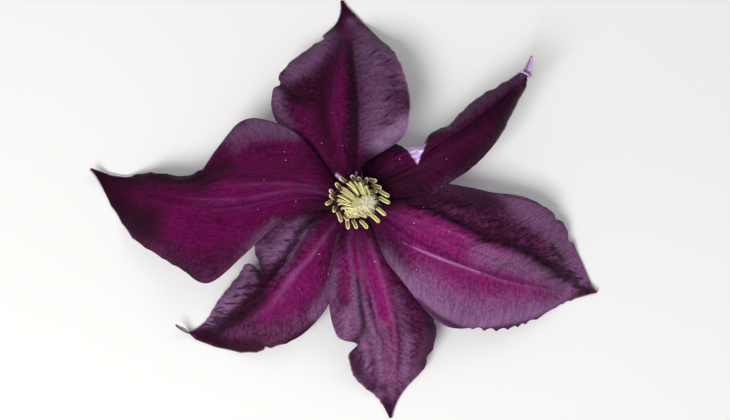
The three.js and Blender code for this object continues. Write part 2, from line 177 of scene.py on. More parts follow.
UPPER_RIGHT_TEPAL = {
    "name": "tepal_upper_right",
    "bearing": 37.6,
    "length": 62.2,
    "sway": [0.2, 0.8, -0.1, -1.1, -2, -2.8, -2.7, -2.1, -1, 0],
    "rests": 1.2,
    "rib": [13, 14.4, 16.2, 17.8, 18.8, 19.2, 18.8, 17.6, 16.2, 16.6],
    "painted_light": 0.4,
    "ground": [0.2, 0.05],
    "ribs": [
        [[[0.3, -0.02], [0.5, 0.03], [0.7, 0.05], [0.9, 0.1]], 0.5, -0.3, 0.0],
        [[[0.04, 0.2], [0.2, 0.3], [0.38, 0.35]], 0.4, 0.1, 0.3],
        [[[0.04, -0.2], [0.3, -0.3], [0.6, -0.3]], 0.4, 0.08, 0.2],
    ],
    "glow": [
        [[[0.04, 0.1], [0.2, 0.2], [0.4, 0.0]], 3.5, 0.55],
        [[[0.1, -0.5], [0.3, -0.5], [0.6, -0.5]], 3.5, 0.4],
        [[[0.45, 0.3], [0.65, 0.35], [0.85, 0.3]], 2.4, 0.45],
    ],
    "painted_sheen": [
        [[[0.48, 0.7], [0.6, 0.7], [0.8, 0.6], [0.93, 0.5]], 2.4, 0.55],
        [[[0.27, -0.9], [0.36, -0.95]], 1.6, 0.12],
    ],
    "shade": [
        [[[0.3, -0.05], [0.42, 0.02], [0.6, 0.05], [0.85, 0.08]], 1.0, 0.7],
        [[[0.1, 0.7], [0.25, 0.6]], 2.4, 0.4],
        [[[0.04, -0.3], [0.14, -0.3], [0.2, -0.5]], 3.4, 0.7],
        [[[0.4, -0.7], [0.6, -0.7], [0.8, -0.7]], 3.0, 0.45],
        [[[0.27, -0.38], [0.36, -0.36], [0.48, -0.24], [0.58, -0.18]], 1.8, 0.42],
        [[[0.25, 0.98], [0.32, 0.9]], 1.5, 0.5],
    ],
    "wrinkles": [
        [[[0.45, 0.5], [0.65, 0.5], [0.85, 0.5]], 2.4, 0.5],
        [[[0.15, -0.6], [0.3, -0.6]], 3.0, 0.3],
    ],
    "lilac_and_highlights": [],
    "tuck": [[-1.9, 18.8], [3.1, 25.5], [11, 19.8]],
    "left": {
        "width": [2.4, 10, 9, 5.6, 5.2, 5.2, 6.3, 4.8, 3.0, 0.35],
        "height": [12.6, 10.6, 10.4, 11.2, 12, 12.6, 13, 13.8, 14.8, 16.4],
        "bulge": 0.9,
        "ruffle": [1, 5.2, 0.3],
        "nicks": [[0.36, 1.7, 0.035]],
        "folds": [0.3, 2.8, 0.3],
        "slant": 0.6,
        "lean": [1.0, 1.6],
        "creases": [],
        "teeth": [0.42, 0.9, 0.5, 0.095],
        "rim": [0.43, 1, 1],
    },
    "right": {
        "width": [2.4, 6.5, 10.2, 9.5, 8.9, 7.4, 6, 3.6, 1.9, 0.35],
        "height": [13, 13.9, 14.2, 13.6, 13, 12.8, 13, 13.6, 14.6, 16.6],
        "bulge": 1.8,
        "ruffle": [0.4, 3, 0.2],
        "nicks": [],
        "folds": [0.14, 3, 0.3],
        "slant": 0.5,
        "lean": [0.6, 1.0],
        "creases": [],
        "teeth": [0.3, 0.9, 0.1, 0.05],
        "rim": [0.6, 1, 0.4],
    },
    "tip": {"from": 0.905, "to": 0.945, "twist": 172, "lift": 1.8, "swing": 2.6},
}

RIGHT_TEPAL = {
    "name": "tepal_right",
    "bearing": -18.8,
    "length": 70.1,
    "sway": [0, -1.2, -2.5, -3.1, -3.5, -3.7, -3.3, -2.5, -1.4, 0],
    "rests": 0.9,
    "rib": [12.8, 13, 13, 12.8, 12.2, 11, 8.8, 5, 0, -0.2],
    "painted_light": 1.0,
    "ground": [0.2, 0.18],
    "ribs": [
        [[[0.16, -0.38], [0.24, -0.29], [0.33, -0.22], [0.5, -0.19], [0.67, -0.2],
         [0.95, -0.12]], 0.26, 0.14, 0.7],
        [[[0.04, 0], [0.26, 0.06], [0.4, 0.04], [0.6, 0.03], [0.82, 0]], 0.4, 0.12, 0.2],
        [[[0.06, 0.25], [0.26, 0.22], [0.5, 0.18], [0.75, 0.14]], 0.4, 0.1, 0.3],
    ],
    "glow": [
        [[[0.05, -0.2], [0.25, 0.0], [0.48, -0.08]], 5.0, 0.9],
        [[[0.25, -0.3], [0.4, -0.26], [0.7, -0.14]], 3.6, 0.8],
        [[[0.3, -0.55], [0.5, -0.5], [0.7, -0.45], [0.86, -0.35]], 4.0, 0.6],
        [[[0.3, 0.25], [0.45, 0.24], [0.58, 0.2]], 2.0, 0.6],
        [[[0.12, 0.3], [0.3, 0.3]], 2.5, 0.5],
    ],
    "painted_sheen": [
        [[[0.3, -0.72], [0.5, -0.72], [0.75, -0.7]], 4.6, 0.55],
        [[[0.12, -0.9], [0.28, -0.9], [0.5, -0.9], [0.75, -0.82], [0.88, -0.7]], 2.0, 0.6],
        [[[0.48, 0.05], [0.65, 0.08], [0.88, 0.0]], 3.4, 0.55],
        [[[0.55, 0.92], [0.62, 0.8], [0.7, 0.78], [0.82, 0.7], [0.92, 0.6]], 4.0, 0.6],
    ],
    "shade": [
        [[[0.14, 0.6], [0.24, 0.5], [0.36, 0.41], [0.5, 0.33], [0.64, 0.33], [0.8, 0.27],
         [0.96, 0.05]], 1.0, 0.8],
        [[[0.14, 0.75], [0.26, 0.7], [0.44, 0.76]], 3.0, 0.55],
        [[[0.32, 0.95], [0.42, 0.9], [0.5, 0.82]], 2.4, 0.6],
        [[[0.0, 0.7], [0.14, 0.75]], 3.0, 0.8],
        [[[0.08, -0.4], [0.16, -0.6]], 2.0, 0.35],
        [[[0.3, -1], [0.5, -1], [0.75, -1], [0.9, -1]], 0.9, 0.85],
        [[[0.5, 0.98], [0.66, 1], [0.8, 1], [0.95, 1]], 0.5, 0.6],
        [[[0.92, -0.6], [0.99, 0.2]], 2.0, 0.55],
    ],
    "wrinkles": [
        [[[0.2, 0.56], [0.36, 0.46], [0.5, 0.38], [0.64, 0.38], [0.8, 0.31], [0.96, 0.12]], 2.3, 0.95],
        [[[0.3, 0.62], [0.4, 0.72], [0.5, 0.6]], 2.6, 0.55],
        [[[0.6, 0.55], [0.75, 0.5], [0.88, 0.4]], 3.5, 0.35],
    ],
    "lilac_and_highlights": [[[[0.22, -0.31], [0.36, -0.22], [0.5, -0.19]], 0.25, 0.25]],
    "left": {
        "width": [2.4, 9.8, 15.5, 17.9, 19.1, 21.3, 20.5, 17.5, 9.7, 0.4],
        "height": [12.6, 11, 10, 9.4, 8.8, 7.8, 6.4, 4, 0, -0.2],
        "bulge": 1.5,
        "ruffle": [0.7, 4, 0.6],
        "nicks": [[0.74, 0.8, 0.012], [0.82, 1.4, 0.014]],
        "folds": [0.26, 2.6, 0.35],
        "slant": 0.75,
        "lean": [0.9, 1.6],
        "creases": [
            [[[0.1, 0.62], [0.24, 0.5], [0.36, 0.41], [0.5, 0.33], [0.64, 0.33], [0.8, 0.27],
             [0.96, 0.05]], 0.9, 1.3, 0.42],
        ],
        "teeth": [0.6, 0.95, 0.2, 0.045],
        "rim": [0.8, 1, 0.4],
    },
    "right": {
        "width": [2.4, 9.8, 13.7, 17.8, 19.9, 17.4, 15.3, 10.6, 3.9, 0.4],
        "height": [12.8, 13.6, 13.6, 12.4, 10.6, 8.6, 6.2, 3.8, 0, -0.2],
        "bulge": 2,
        "ruffle": [0.6, 5, 0],
        "nicks": [],
        "folds": [0.12, 2.0, 0.3],
        "slant": 0.25,
        "lean": [0.34, 0.5],
        "creases": [],
        "teeth": [0.5, 0.95, 0.85, 0.042],
        "rim": [0.9, 1, 0.5],
    },
    "tip": {"from": 0.95, "to": 1.05, "twist": 80, "lift": 1.0, "swing": 0.3},
}

BOTTOM_TEPAL = {
    "name": "tepal_bottom",
    "bearing": -80.8,
    "length": 57.3,
    "sway": [-0.2, -0.2, 0.1, 0.6, 1.1, 1.6, 1.9, 1.6, 0.9, 0],
    "rests": 0.9,
    "rib": [12.4, 12.2, 11.8, 11.2, 10.4, 9.2, 7.2, 4.2, 0, -0.2],
    "painted_light": 1.0,
    "ground": [0.2, 0.15],
    "ribs": [
        [[[0.05, -0.5], [0.12, -0.52], [0.22, -0.45], [0.34, -0.34], [0.45, -0.28],
         [0.6, -0.3]], 0.8, 0.2, 0.55],
        [[[0.05, -0.15], [0.25, -0.15], [0.42, -0.07], [0.62, -0.12], [0.76, -0.1],
         [0.9, -0.1]], 0.8, 0.2, 0.6],
        [[[0.1, 0.25], [0.25, 0.26], [0.38, 0.24], [0.56, 0.2], [0.72, 0.15], [0.88, 0.1]], 0.7, 0.16, 0.5],
    ],
    "glow": [
        [[[0.05, -0.05], [0.2, 0.05], [0.36, 0.12], [0.52, 0.06]], 2.4, 1.0],
        [[[0.08, -0.4], [0.25, -0.3], [0.36, -0.2]], 1.8, 0.9],
        [[[0.6, 0.06], [0.8, 0.05]], 1.8, 0.4],
        [[[0.2, -0.75], [0.35, -0.65]], 3.0, 0.5],
    ],
    "painted_sheen": [
        [[[0.46, -0.6], [0.5, -0.7], [0.56, -0.75]], 1.8, 0.6],
        [[[0.64, 0.42], [0.8, 0.42]], 1.7, 0.5],
        [[[0.25, -0.95], [0.36, -0.95]], 1.2, 0.5],
        [[[0.3, -0.36], [0.45, -0.3], [0.6, -0.25], [0.8, -0.25]], 1.5, 0.6],
        [[[0.62, 0.9], [0.76, 0.75], [0.86, 0.6]], 1.8, 0.3],
        [[[0.36, -0.4], [0.48, -0.45], [0.56, -0.5], [0.74, -0.55]], 1.5, 0.6],
        [[[0.4, 0.45], [0.6, 0.4]], 1.6, 0.25],
        [[[0.78, -0.75], [0.88, -0.7]], 1.6, 0.45],
        [[[0.54, 0.0], [0.64, 0.04], [0.9, 0.05]], 1.4, 0.42],
    ],
    "shade": [
        [[[0.12, 0.75], [0.3, 0.75], [0.5, 0.85], [0.62, 0.9], [0.76, 0.9]], 2.2, 0.75],
        [[[0.65, -0.92], [0.74, -0.84], [0.84, -0.75]], 1.6, 0.75],
        [[[0.44, -0.36], [0.54, -0.36], [0.62, -0.6], [0.63, -0.9]], 0.5, 0.45],
        [[[0.3, -0.75], [0.38, -0.75]], 2.0, 0.3],
        [[[0.0, 0.6], [0.1, 0.9]], 2.5, 0.6],
        [[[0.2, -0.98], [0.4, -1]], 1.0, 0.4],
        [[[0.92, -0.3], [0.99, 0.2]], 2.0, 0.6],
    ],
    "wrinkles": [
        [[[0.62, -0.75], [0.7, -0.65], [0.82, -0.6]], 2.4, 0.8],
        [[[0.35, 0.6], [0.6, 0.6], [0.85, 0.5]], 3.0, 0.25],
    ],
    "lilac_and_highlights": [],
    "left": {
        "width": [2.4, 7.4, 9.6, 12, 13.8, 14.6, 13, 9.6, 3.2, 0.4],
        "height": [12.2, 11, 10.2, 9.4, 8.2, 7, 5.4, 3.2, 0, -0.2],
        "bulge": 1.2,
        "ruffle": [0.7, 4, 0.5],
        "nicks": [[0.56, 0.8, 0.02], [0.73, 0.9, 0.02]],
        "folds": [0.22, 3, 0.3],
        "slant": 0.7,
        "lean": [0.7, 1.0],
        "creases": [],
        "teeth": [0.5, 0.9, 0.5, 0.09],
        "rim": [0.8, 1, 0.3],
    },
    "right": {
        "width": [2.4, 6.6, 9.2, 11.6, 12.8, 12.6, 10.9, 9.5, 3.8, 0.4],
        "height": [12.4, 13, 12.8, 11.8, 10.2, 8.4, 6.2, 3.6, 0, -0.2],
        "bulge": 1.6,
        "ruffle": [0.9, 3.6, 0.9],
        "nicks": [[0.62, 4, 0.03]],
        "folds": [0.3, 2.4, 0.4],
        "slant": 0.5,
        "lean": [0.6, 1.0],
        "creases": [[[[0.63, -0.8], [0.54, -0.4], [0.42, -0.34], [0.25, -0.34]], 0.22, 0.9, 0.04]],
        "teeth": [0.66, 0.95, 0.45, 0.035],
        "rim": [0.5, 0.9, 0.3],
    },
    "tip": {"from": 0.94, "to": 1.1, "twist": 20, "lift": 0.3, "swing": 0},
}

LOWER_LEFT_TEPAL = {
    "name": "tepal_lower_left",
    "bearing": -143.7,
    "length": 58.6,
    "sway": [0.2, 1, 2.7, 4.5, 5.8, 6.2, 5.4, 4.2, 2.4, 0],
    "rests": 0.88,
    "rib": [11.8, 11.4, 11, 10.6, 9.8, 8.4, 6.3, 3, -0.3, 1.4],
    "painted_light": 0.87,
    "ground": [0.24, 0.1],
    "ribs": [
        [[[0.06, 0.04], [0.21, 0.06], [0.34, 0.01], [0.42, 0.0], [0.56, 0.14],
         [0.8, 0.24]], 0.95, 0.18, 0.6],
        [[[0.1, -0.4], [0.18, -0.44], [0.26, -0.36], [0.34, -0.27], [0.42, -0.22],
         [0.52, -0.2]], 0.5, 0.14, 0.5],
        [[[0.08, 0.4], [0.15, 0.54], [0.23, 0.67], [0.28, 0.8], [0.32, 0.94]], 0.45, 0.16, 0.5],
    ],
    "glow": [
        [[[0.04, 0], [0.25, 0.05], [0.48, 0.12], [0.6, 0.26]], 3.2, 0.7],
        [[[0.3, 0.5], [0.5, 0.45]], 3.4, 0.5],
    ],
    "painted_sheen": [
        [[[0.22, -0.6], [0.32, -0.55], [0.42, -0.6], [0.46, -0.8]], 3.2, 0.8],
        [[[0.52, -0.8], [0.6, -0.66], [0.72, -0.64], [0.86, -0.6]], 2.5, 0.88],
        [[[0.5, 0.7], [0.65, 0.55], [0.8, 0.3]], 2.6, 0.2],
        [[[0.3, 0.85], [0.42, 0.88]], 2.0, 0.45],
        [[[0.34, -0.24], [0.42, -0.2]], 0.9, 0.4],
        [[[0.4, 0.05], [0.5, 0.1]], 1.4, 0.25],
    ],
    "shade": [
        [[[0.08, -0.5], [0.18, -0.4], [0.3, -0.24], [0.4, -0.2], [0.48, -0.24]], 0.55, 0.6],
        [[[0.47, -0.8], [0.5, -0.45], [0.55, -0.28], [0.66, -0.18], [0.8, -0.04], [0.9, 0.05]], 1.6, 0.85],
        [[[0.05, -0.8], [0.12, -0.75]], 3.0, 0.5],
        [[[0.5, -0.86], [0.55, -0.66], [0.61, -0.5]], 1.3, 0.5],
        [[[0.56, -0.1], [0.66, 0.0], [0.78, 0.05], [0.88, 0.1]], 1.6, 0.78],
        [[[0.48, 0.45], [0.68, 0.42]], 3.0, 0.22],
        [[[0.45, 1], [0.7, 1], [0.88, 0.85]], 1.3, 0.9],
        [[[0.72, 0.85], [0.84, 0.6], [0.92, 0.4]], 1.8, 0.7],
    ],
    "wrinkles": [
        [[[0.42, -0.5], [0.5, -0.5], [0.62, -0.4], [0.75, -0.36], [0.9, -0.2]], 2.6, 0.9],
        [[[0.5, -0.86], [0.57, -0.66], [0.64, -0.56]], 1.8, 0.75],
        [[[0.2, -0.6], [0.32, -0.6]], 2.5, 0.6],
        [[[0.4, 0.8], [0.7, 0.75]], 2.5, 0.18],
    ],
    "lilac_and_highlights": [],
    "left": {
        "width": [2.4, 7.6, 10.6, 12.5, 12.9, 12.8, 12, 10.3, 6, 0.4],
        "height": [11.6, 10, 9, 8.2, 7.4, 6.4, 4.8, 2.4, -0.3, 1.4],
        "bulge": 0.9,
        "ruffle": [0.5, 3, 0.3],
        "nicks": [[0.7, 0.9, 0.012]],
        "folds": [0.16, 2.8, 0.3],
        "slant": 0.8,
        "lean": [0.8, 1.0],
        "creases": [],
        "teeth": [0.55, 0.95, 0.4, 0.07],
        "rim": [0.6, 0.9, 0.3],
    },
    "right": {
        "width": [2.4, 8.6, 11.4, 13.7, 14.4, 11.6, 8.9, 6.2, 2.7, 0.4],
        "height": [11.8, 10.6, 10, 9.2, 8.2, 7, 5.4, 2.6, -0.3, 1.4],
        "bulge": 1.6,
        "ruffle": [0.9, 4.2, 0.2],
        "nicks": [[0.5, 5, 0.03]],
        "folds": [0.35, 2.2, 0.4],
        "slant": 0.7,
        "lean": [0.8, 1.2],
        "creases": [
            [[[0.1, -0.52], [0.2, -0.56], [0.28, -0.46], [0.36, -0.36], [0.46, -0.32],
             [0.55, -0.34]], 0.8, 1.1, 0.2],
            [[[0.5, -0.9], [0.51, -0.6], [0.56, -0.3], [0.7, -0.22], [0.88, -0.12]], 0.6, 1.1, 0.2],
        ],
        "teeth": [0.55, 0.9, 0.25, 0.05],
        "rim": [0.45, 0.95, 0.3],
    },
    "tip": {"from": 0.955, "to": 0.985, "twist": -165, "lift": 1.9, "swing": -3.5},
}

LEFT_TEPAL = {
    "name": "tepal_left",
    "bearing": 170.7,
    "length": 76.3,
    "sway": [0, -0.3, 1.1, 2.8, 3.5, 3.8, 3.8, 3.2, 1.9, 0],
    "rests": 0.88,
    "rib": [14, 14.2, 14.2, 13.6, 12.6, 10.8, 8.2, 4, -0.3, 1.8],
    "painted_light": 0.56,
    "ground": [0.3, 0.0],
    "ribs": [
        [[[0.04, -0.1], [0.12, -0.1], [0.22, -0.06], [0.38, 0.03], [0.5, 0.06],
         [0.66, 0.1]], 0.55, 0.2, 0.45],
        [[[0.06, 0.2], [0.24, 0.13], [0.42, 0.17], [0.52, 0.2]], 0.5, 0.16, 0.4],
        [[[0.08, -0.26], [0.3, -0.17], [0.43, -0.12]], 0.45, 0.14, 0.35],
    ],
    "glow": [
        [[[0.04, 0.1], [0.3, 0.02], [0.55, 0.1]], 5.0, 0.75],
        [[[0.35, 0.45], [0.5, 0.5], [0.62, 0.45]], 6.0, 0.6],
        [[[0.6, 0.2], [0.88, 0.2]], 4.0, 0.35],
        [[[0.15, -0.4], [0.45, -0.4]], 5.0, 0.65],
        [[[0.43, -0.76], [0.33, -0.78], [0.22, -0.72]], 3.0, 0.6],
    ],
    "painted_sheen": [
        [[[0.45, -0.84], [0.37, -0.88], [0.28, -0.9]], 2.6, 0.7],
        [[[0.43, -0.62], [0.38, -0.72], [0.35, -0.74]], 2.2, 0.4],
        [[[0.38, -0.95], [0.3, -0.93], [0.22, -0.95]], 1.8, 0.6],
        [[[0.24, 0.88], [0.3, 0.95]], 2.2, 0.5],
        [[[0.4, 0.1], [0.55, 0.16]], 1.2, 0.2],
    ],
    "shade": [
        [[[0.2, -0.35], [0.35, -0.3], [0.45, -0.34], [0.56, -0.4]], 3.8, 0.54],
        [[[0.46, -0.42], [0.56, -0.62], [0.75, -0.7], [0.92, -0.6]], 2.8, 0.75],
        [[[0.72, 0.6], [0.82, 0.7], [0.92, 0.5]], 6.0, 0.8],
        [[[0.6, 0.9], [0.5, 1]], 2.2, 0.4],
        [[[0.05, 0.8], [0.14, 0.8]], 2.6, 0.6],
        [[[0.9, 1], [0.98, 0]], 1.6, 0.5],
    ],
    "wrinkles": [
        [[[0.3, -0.75], [0.4, -0.7]], 3.5, 0.2],
        [[[0.55, -0.6], [0.75, -0.6], [0.9, -0.5]], 2.0, 0.6],
        [[[0.75, 0.6], [0.9, 0.5]], 4.0, 0.4],
    ],
    "lilac_and_highlights": [[[[0.84, -0.95], [0.93, -0.9]], 0.3, 0.8]],
    "left": {
        "width": [2.4, 4.6, 7.9, 16.2, 24, 20.9, 17.6, 14.2, 7.8, 0.4],
        "height": [14, 13.8, 13.4, 12.8, 11.4, 9.2, 6.6, 3.2, -0.3, 1.8],
        "bulge": 1.4,
        "ruffle": [0.7, 4, 0.2],
        "nicks": [],
        "folds": [0.16, 3.4, 0.3],
        "slant": 0.9,
        "lean": [0.9, 1.2],
        "creases": [],
        "teeth": [0.5, 0.95, 0.3, 0.055],
        "rim": [0.75, 1, 0.8],
    },
    "right": {
        "width": [2.4, 9.7, 17.6, 21.5, 20.4, 6.4, 4.8, 4.2, 2, 0.4],
        "height": [14, 14.8, 15, 14.4, 13, 11, 8, 4, -0.3, 1.8],
        "bulge": 1.8,
        "ruffle": [0.8, 5.2, 0.4],
        "nicks": [[0.54, 1, 0.012]],
        "folds": [0.2, 3.2, 0.4],
        "slant": 0.5,
        "lean": [0.6, 1.0],
        "creases": [],
        "teeth": [0.56, 0.95, 0.4, 0.07],
        "rim": [0.8, 1, 1],
    },
    "tip": {"from": 0.93, "to": 1.05, "twist": 40, "lift": 0.8, "swing": 0},
}

TEPALS = [TOP_TEPAL, UPPER_RIGHT_TEPAL, RIGHT_TEPAL, BOTTOM_TEPAL, LOWER_LEFT_TEPAL, LEFT_TEPAL]

# ------------------------------------------------------------------ small helpers


def smoothstep(x, low, high):
    t = np.clip((np.asarray(x, float) - low) / (high - low), 0, 1)
    return t * t * (3 - 2 * t)


def at_station(values, share):
    """Values between evenly spaced stations, on a smooth curve through all of them."""
    values = np.asarray(values, float)
    place = np.clip(share, 0, 1) * (len(values) - 1)
    i = np.minimum(place.astype(int), len(values) - 2)
    t = place - i
    p0, p1, p2, p3 = (values[np.clip(i + k, 0, len(values) - 1)] for k in (-1, 0, 1, 2))
    rise = (p2 - p0) / 2
    fall = (p3 - p1) / 2
    return p1 + rise * t + (3 * (p2 - p1) - 2 * rise - fall) * t**2 + (2 * (p1 - p2) + rise + fall) * t**3


def cloud(u, v, seed):
    """Soft uneven noise from -1 to 1 over a sheet, with one swell for each unit of u and of v."""
    knots = np.random.default_rng(seed).uniform(-1, 1, (NOISE_KNOTS, NOISE_KNOTS))
    i, j = np.floor(u).astype(int), np.floor(v).astype(int)
    a, b = smoothstep(u - i, 0, 1), smoothstep(v - j, 0, 1)

    def knot(k, m):
        return knots[(i + k) % NOISE_KNOTS, (j + m) % NOISE_KNOTS]

    return (knot(0, 0) * (1 - a) + knot(1, 0) * a) * (1 - b) + (knot(0, 1) * (1 - a) + knot(1, 1) * a) * b


def tangle(u, v, seed):
    """The same noise with finer noise laid over it."""
    coarse = 0.62 * cloud(u, v, seed)
    finer = 0.3 * cloud(2.1 * u, 2.1 * v, seed + 1)
    finest = 0.14 * cloud(4.3 * u, 4.3 * v, seed + 2)
    return coarse + finer + finest


def set_mesh_points(thing, points):
    """Moves a mesh's points to places in millimetres."""
    thing.data.vertices.foreach_set("co", (np.asarray(points) * MM).astype(np.float32).ravel())
    thing.data.update()


def mesh_points(thing):
    """A mesh's points, in millimetres."""
    places = np.empty(len(thing.data.vertices) * 3, np.float32)
    thing.data.vertices.foreach_get("co", places)
    return places.reshape(-1, 3).astype(float) / MM


def store(thing, name, values):
    """Keeps a number for each point of a mesh, for its material to read."""
    held = thing.data.attributes.get(name) or thing.data.attributes.new(name, "FLOAT", "POINT")
    held.data.foreach_set("value", np.asarray(values, np.float32))


def only(thing):
    """Selects one thing and makes it active."""
    bpy.ops.object.select_all(action="DESELECT")
    thing.select_set(True)
    bpy.context.view_layer.objects.active = thing


def use_modifier(thing, kind, **settings):
    only(thing)
    modifier = thing.modifiers.new(kind.title(), kind)
    for key, value in settings.items():
        setattr(modifier, key, value)
    bpy.ops.object.modifier_apply(modifier=modifier.name)


def join(things, name):
    bpy.ops.object.select_all(action="DESELECT")
    for thing in things:
        thing.select_set(True)
    bpy.context.view_layer.objects.active = things[0]
    bpy.ops.object.join()
    things[0].name = name
    return things[0]


def finished(thing, node, slot, *materials):
    """Gives a piece its materials and body, and hides the solid of its node; slot is not used."""
    if materials:
        thing.data.materials.clear()
        for material in materials:
            thing.data.materials.append(material)
    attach(thing, "root")
    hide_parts(node)
    return thing


# ------------------------------------------------------------------ materials: small node builder


class Maker:
    """Adds nodes to one material or node group, with short calls."""

    def __init__(self, tree):
        self.tree = tree

    def node(self, kind, **settings):
        made = self.tree.nodes.new(kind)
        for key, value in settings.items():
            setattr(made, key, value)
        return made

    def feed(self, source, target):
        if hasattr(source, "is_output"):
            self.tree.links.new(source, target)
        else:
            target.default_value = source

    def math(self, operation, a, b=0.0, clamp=False):
        made = self.node("ShaderNodeMath", operation=operation, use_clamp=clamp)
        self.feed(a, made.inputs[0])
        self.feed(b, made.inputs[1])
        return made.outputs[0]

    def plus(self, a, b):
        return self.math("ADD", a, b)

    def minus(self, a, b):
        return self.math("SUBTRACT", a, b)

    def times(self, a, b, clamp=False):
        return self.math("MULTIPLY", a, b, clamp)

    def ramp(self, value, low, high, out_low=0.0, out_high=1.0):
        made = self.node("ShaderNodeMapRange", interpolation_type="SMOOTHSTEP")
        self.feed(value, made.inputs["Value"])
        for name, number in zip(("From Min", "From Max", "To Min", "To Max"), (low, high, out_low, out_high)):
            self.feed(number, made.inputs[name])
        return made.outputs["Result"]

    def mix(self, share, a, b, blend="MIX"):
        made = self.node("ShaderNodeMix", data_type="RGBA", blend_type=blend)
        self.feed(share, made.inputs["Factor"])
        self.feed(a, made.inputs["A"])
        self.feed(b, made.inputs["B"])
        return made.outputs["Result"]

    def attribute(self, name):
        return self.node("ShaderNodeAttribute", attribute_name=name).outputs["Fac"]

    def combine(self, x, y, z=0.0):
        made = self.node("ShaderNodeCombineXYZ")
        for number, socket in zip((x, y, z), made.inputs):
            self.feed(number, socket)
        return made.outputs[0]

    def noise(self, vector, scale, detail=3.0, roughness=0.5, distortion=0.0):
        made = self.node("ShaderNodeTexNoise")
        self.feed(vector, made.inputs["Vector"])
        made.inputs["Scale"].default_value = scale
        made.inputs["Detail"].default_value = detail
        made.inputs["Roughness"].default_value = roughness
        made.inputs["Distortion"].default_value = distortion
        return made.outputs["Fac"]

    def speckle(self, scale, detail=3):
        """Noise all through a piece."""
        place = self.node("ShaderNodeTexCoord").outputs["Object"]
        return self.noise(place, scale, detail)

    def bump(self, height, distance, strength=1.0, normal=None):
        made = self.node("ShaderNodeBump")
        made.inputs["Strength"].default_value = strength
        made.inputs["Distance"].default_value = distance * MM
        self.feed(height, made.inputs["Height"])
        if normal is not None:
            self.feed(normal, made.inputs["Normal"])
        return made.outputs["Normal"]


def new_material(name):
    material = bpy.data.materials.new(name)
    material.use_nodes = True
    material.node_tree.nodes.clear()
    maker = Maker(material.node_tree)
    shader = maker.node("ShaderNodeBsdfPrincipled")
    output = maker.node("ShaderNodeOutputMaterial")
    maker.feed(shader.outputs[0], output.inputs["Surface"])
    return material, maker, shader.inputs


def rgb(red, green, blue):
    """A colour as seen on a screen, from 0 to 255, in linear light."""
    shares = (red / 255, green / 255, blue / 255)
    return tuple(((c + 0.055) / 1.055) ** 2.4 if c > 0.04045 else c / 12.92 for c in shares) + (1,)


STREAK_PLACES = ("Across", "Along", "Vein", "Pucker", "Reach")
STREAK_KINDS = ("Veins", "Grain", "Nap", "Patches", "Mottle", "Puckers", "Dust")


def blade_streaks_group():
    """Fine forked veins that run from a tepal's ribs out to its margin, and the lines along its ribs."""
    group = bpy.data.node_groups.new("blade streaks", "ShaderNodeTree")
    for way, names in (("INPUT", STREAK_PLACES), ("OUTPUT", STREAK_KINDS)):
        for name in names:
            group.interface.new_socket(name=name, in_out=way, socket_type="NodeSocketFloat")
    maker = Maker(group)
    source = maker.node("NodeGroupInput").outputs
    sink = maker.node("NodeGroupOutput").inputs
    across, along, vein = source["Across"], source["Along"], source["Vein"]
    vein_space = maker.combine(vein, maker.times(across, 0.24))
    veins = maker.noise(vein_space, 1.5, detail=3, roughness=0.6, distortion=0.8)
    grain_space = maker.combine(across, maker.times(along, 0.2))
    grain = maker.noise(grain_space, 1.7, detail=3, roughness=0.6, distortion=0.3)
    blade_space = maker.combine(across, along)
    nap = maker.noise(blade_space, 1.7, detail=4, roughness=0.75)
    mottle = maker.noise(blade_space, 0.85, detail=4, roughness=0.65, distortion=0.4)
    patches = maker.noise(blade_space, 0.16, detail=2, roughness=0.5)
    pucker_space = maker.combine(source["Pucker"], maker.times(source["Reach"], 0.22))
    puckers = maker.noise(pucker_space, 1.05, detail=2, roughness=0.55, distortion=0.35)
    specks = maker.node("ShaderNodeTexVoronoi")
    specks.inputs["Scale"].default_value = 0.36
    maker.feed(blade_space, specks.inputs["Vector"])
    maker.feed(maker.ramp(veins, 0.32, 0.68), sink["Veins"])
    maker.feed(maker.ramp(grain, 0.32, 0.68), sink["Grain"])
    maker.feed(maker.ramp(nap, 0.3, 0.7), sink["Nap"])
    maker.feed(maker.ramp(patches, 0.3, 0.7), sink["Patches"])
    maker.feed(maker.ramp(mottle, 0.3, 0.7), sink["Mottle"])
    maker.feed(puckers, sink["Puckers"])
    maker.feed(maker.ramp(specks.outputs["Distance"], 0.04, 0.065, 1.0, 0.0), sink["Dust"])
    return group


STREAKS = blade_streaks_group()


def dress(maker, shader, colour, grain, roughness, bumps):
    """Feeds a shader its colour, and a roughness and bumps that follow a grain."""
    maker.feed(colour, shader["Base Color"])
    maker.feed(maker.ramp(grain, 0, 1, *roughness), shader["Roughness"])
    maker.feed(maker.bump(grain, *bumps), shader["Normal"])


def place_streaks(maker):
    placed = maker.node("ShaderNodeGroup", node_tree=STREAKS)
    for socket in STREAK_PLACES:
        maker.feed(maker.attribute(socket.lower() + "_mm"), placed.inputs[socket])
    return placed.outputs


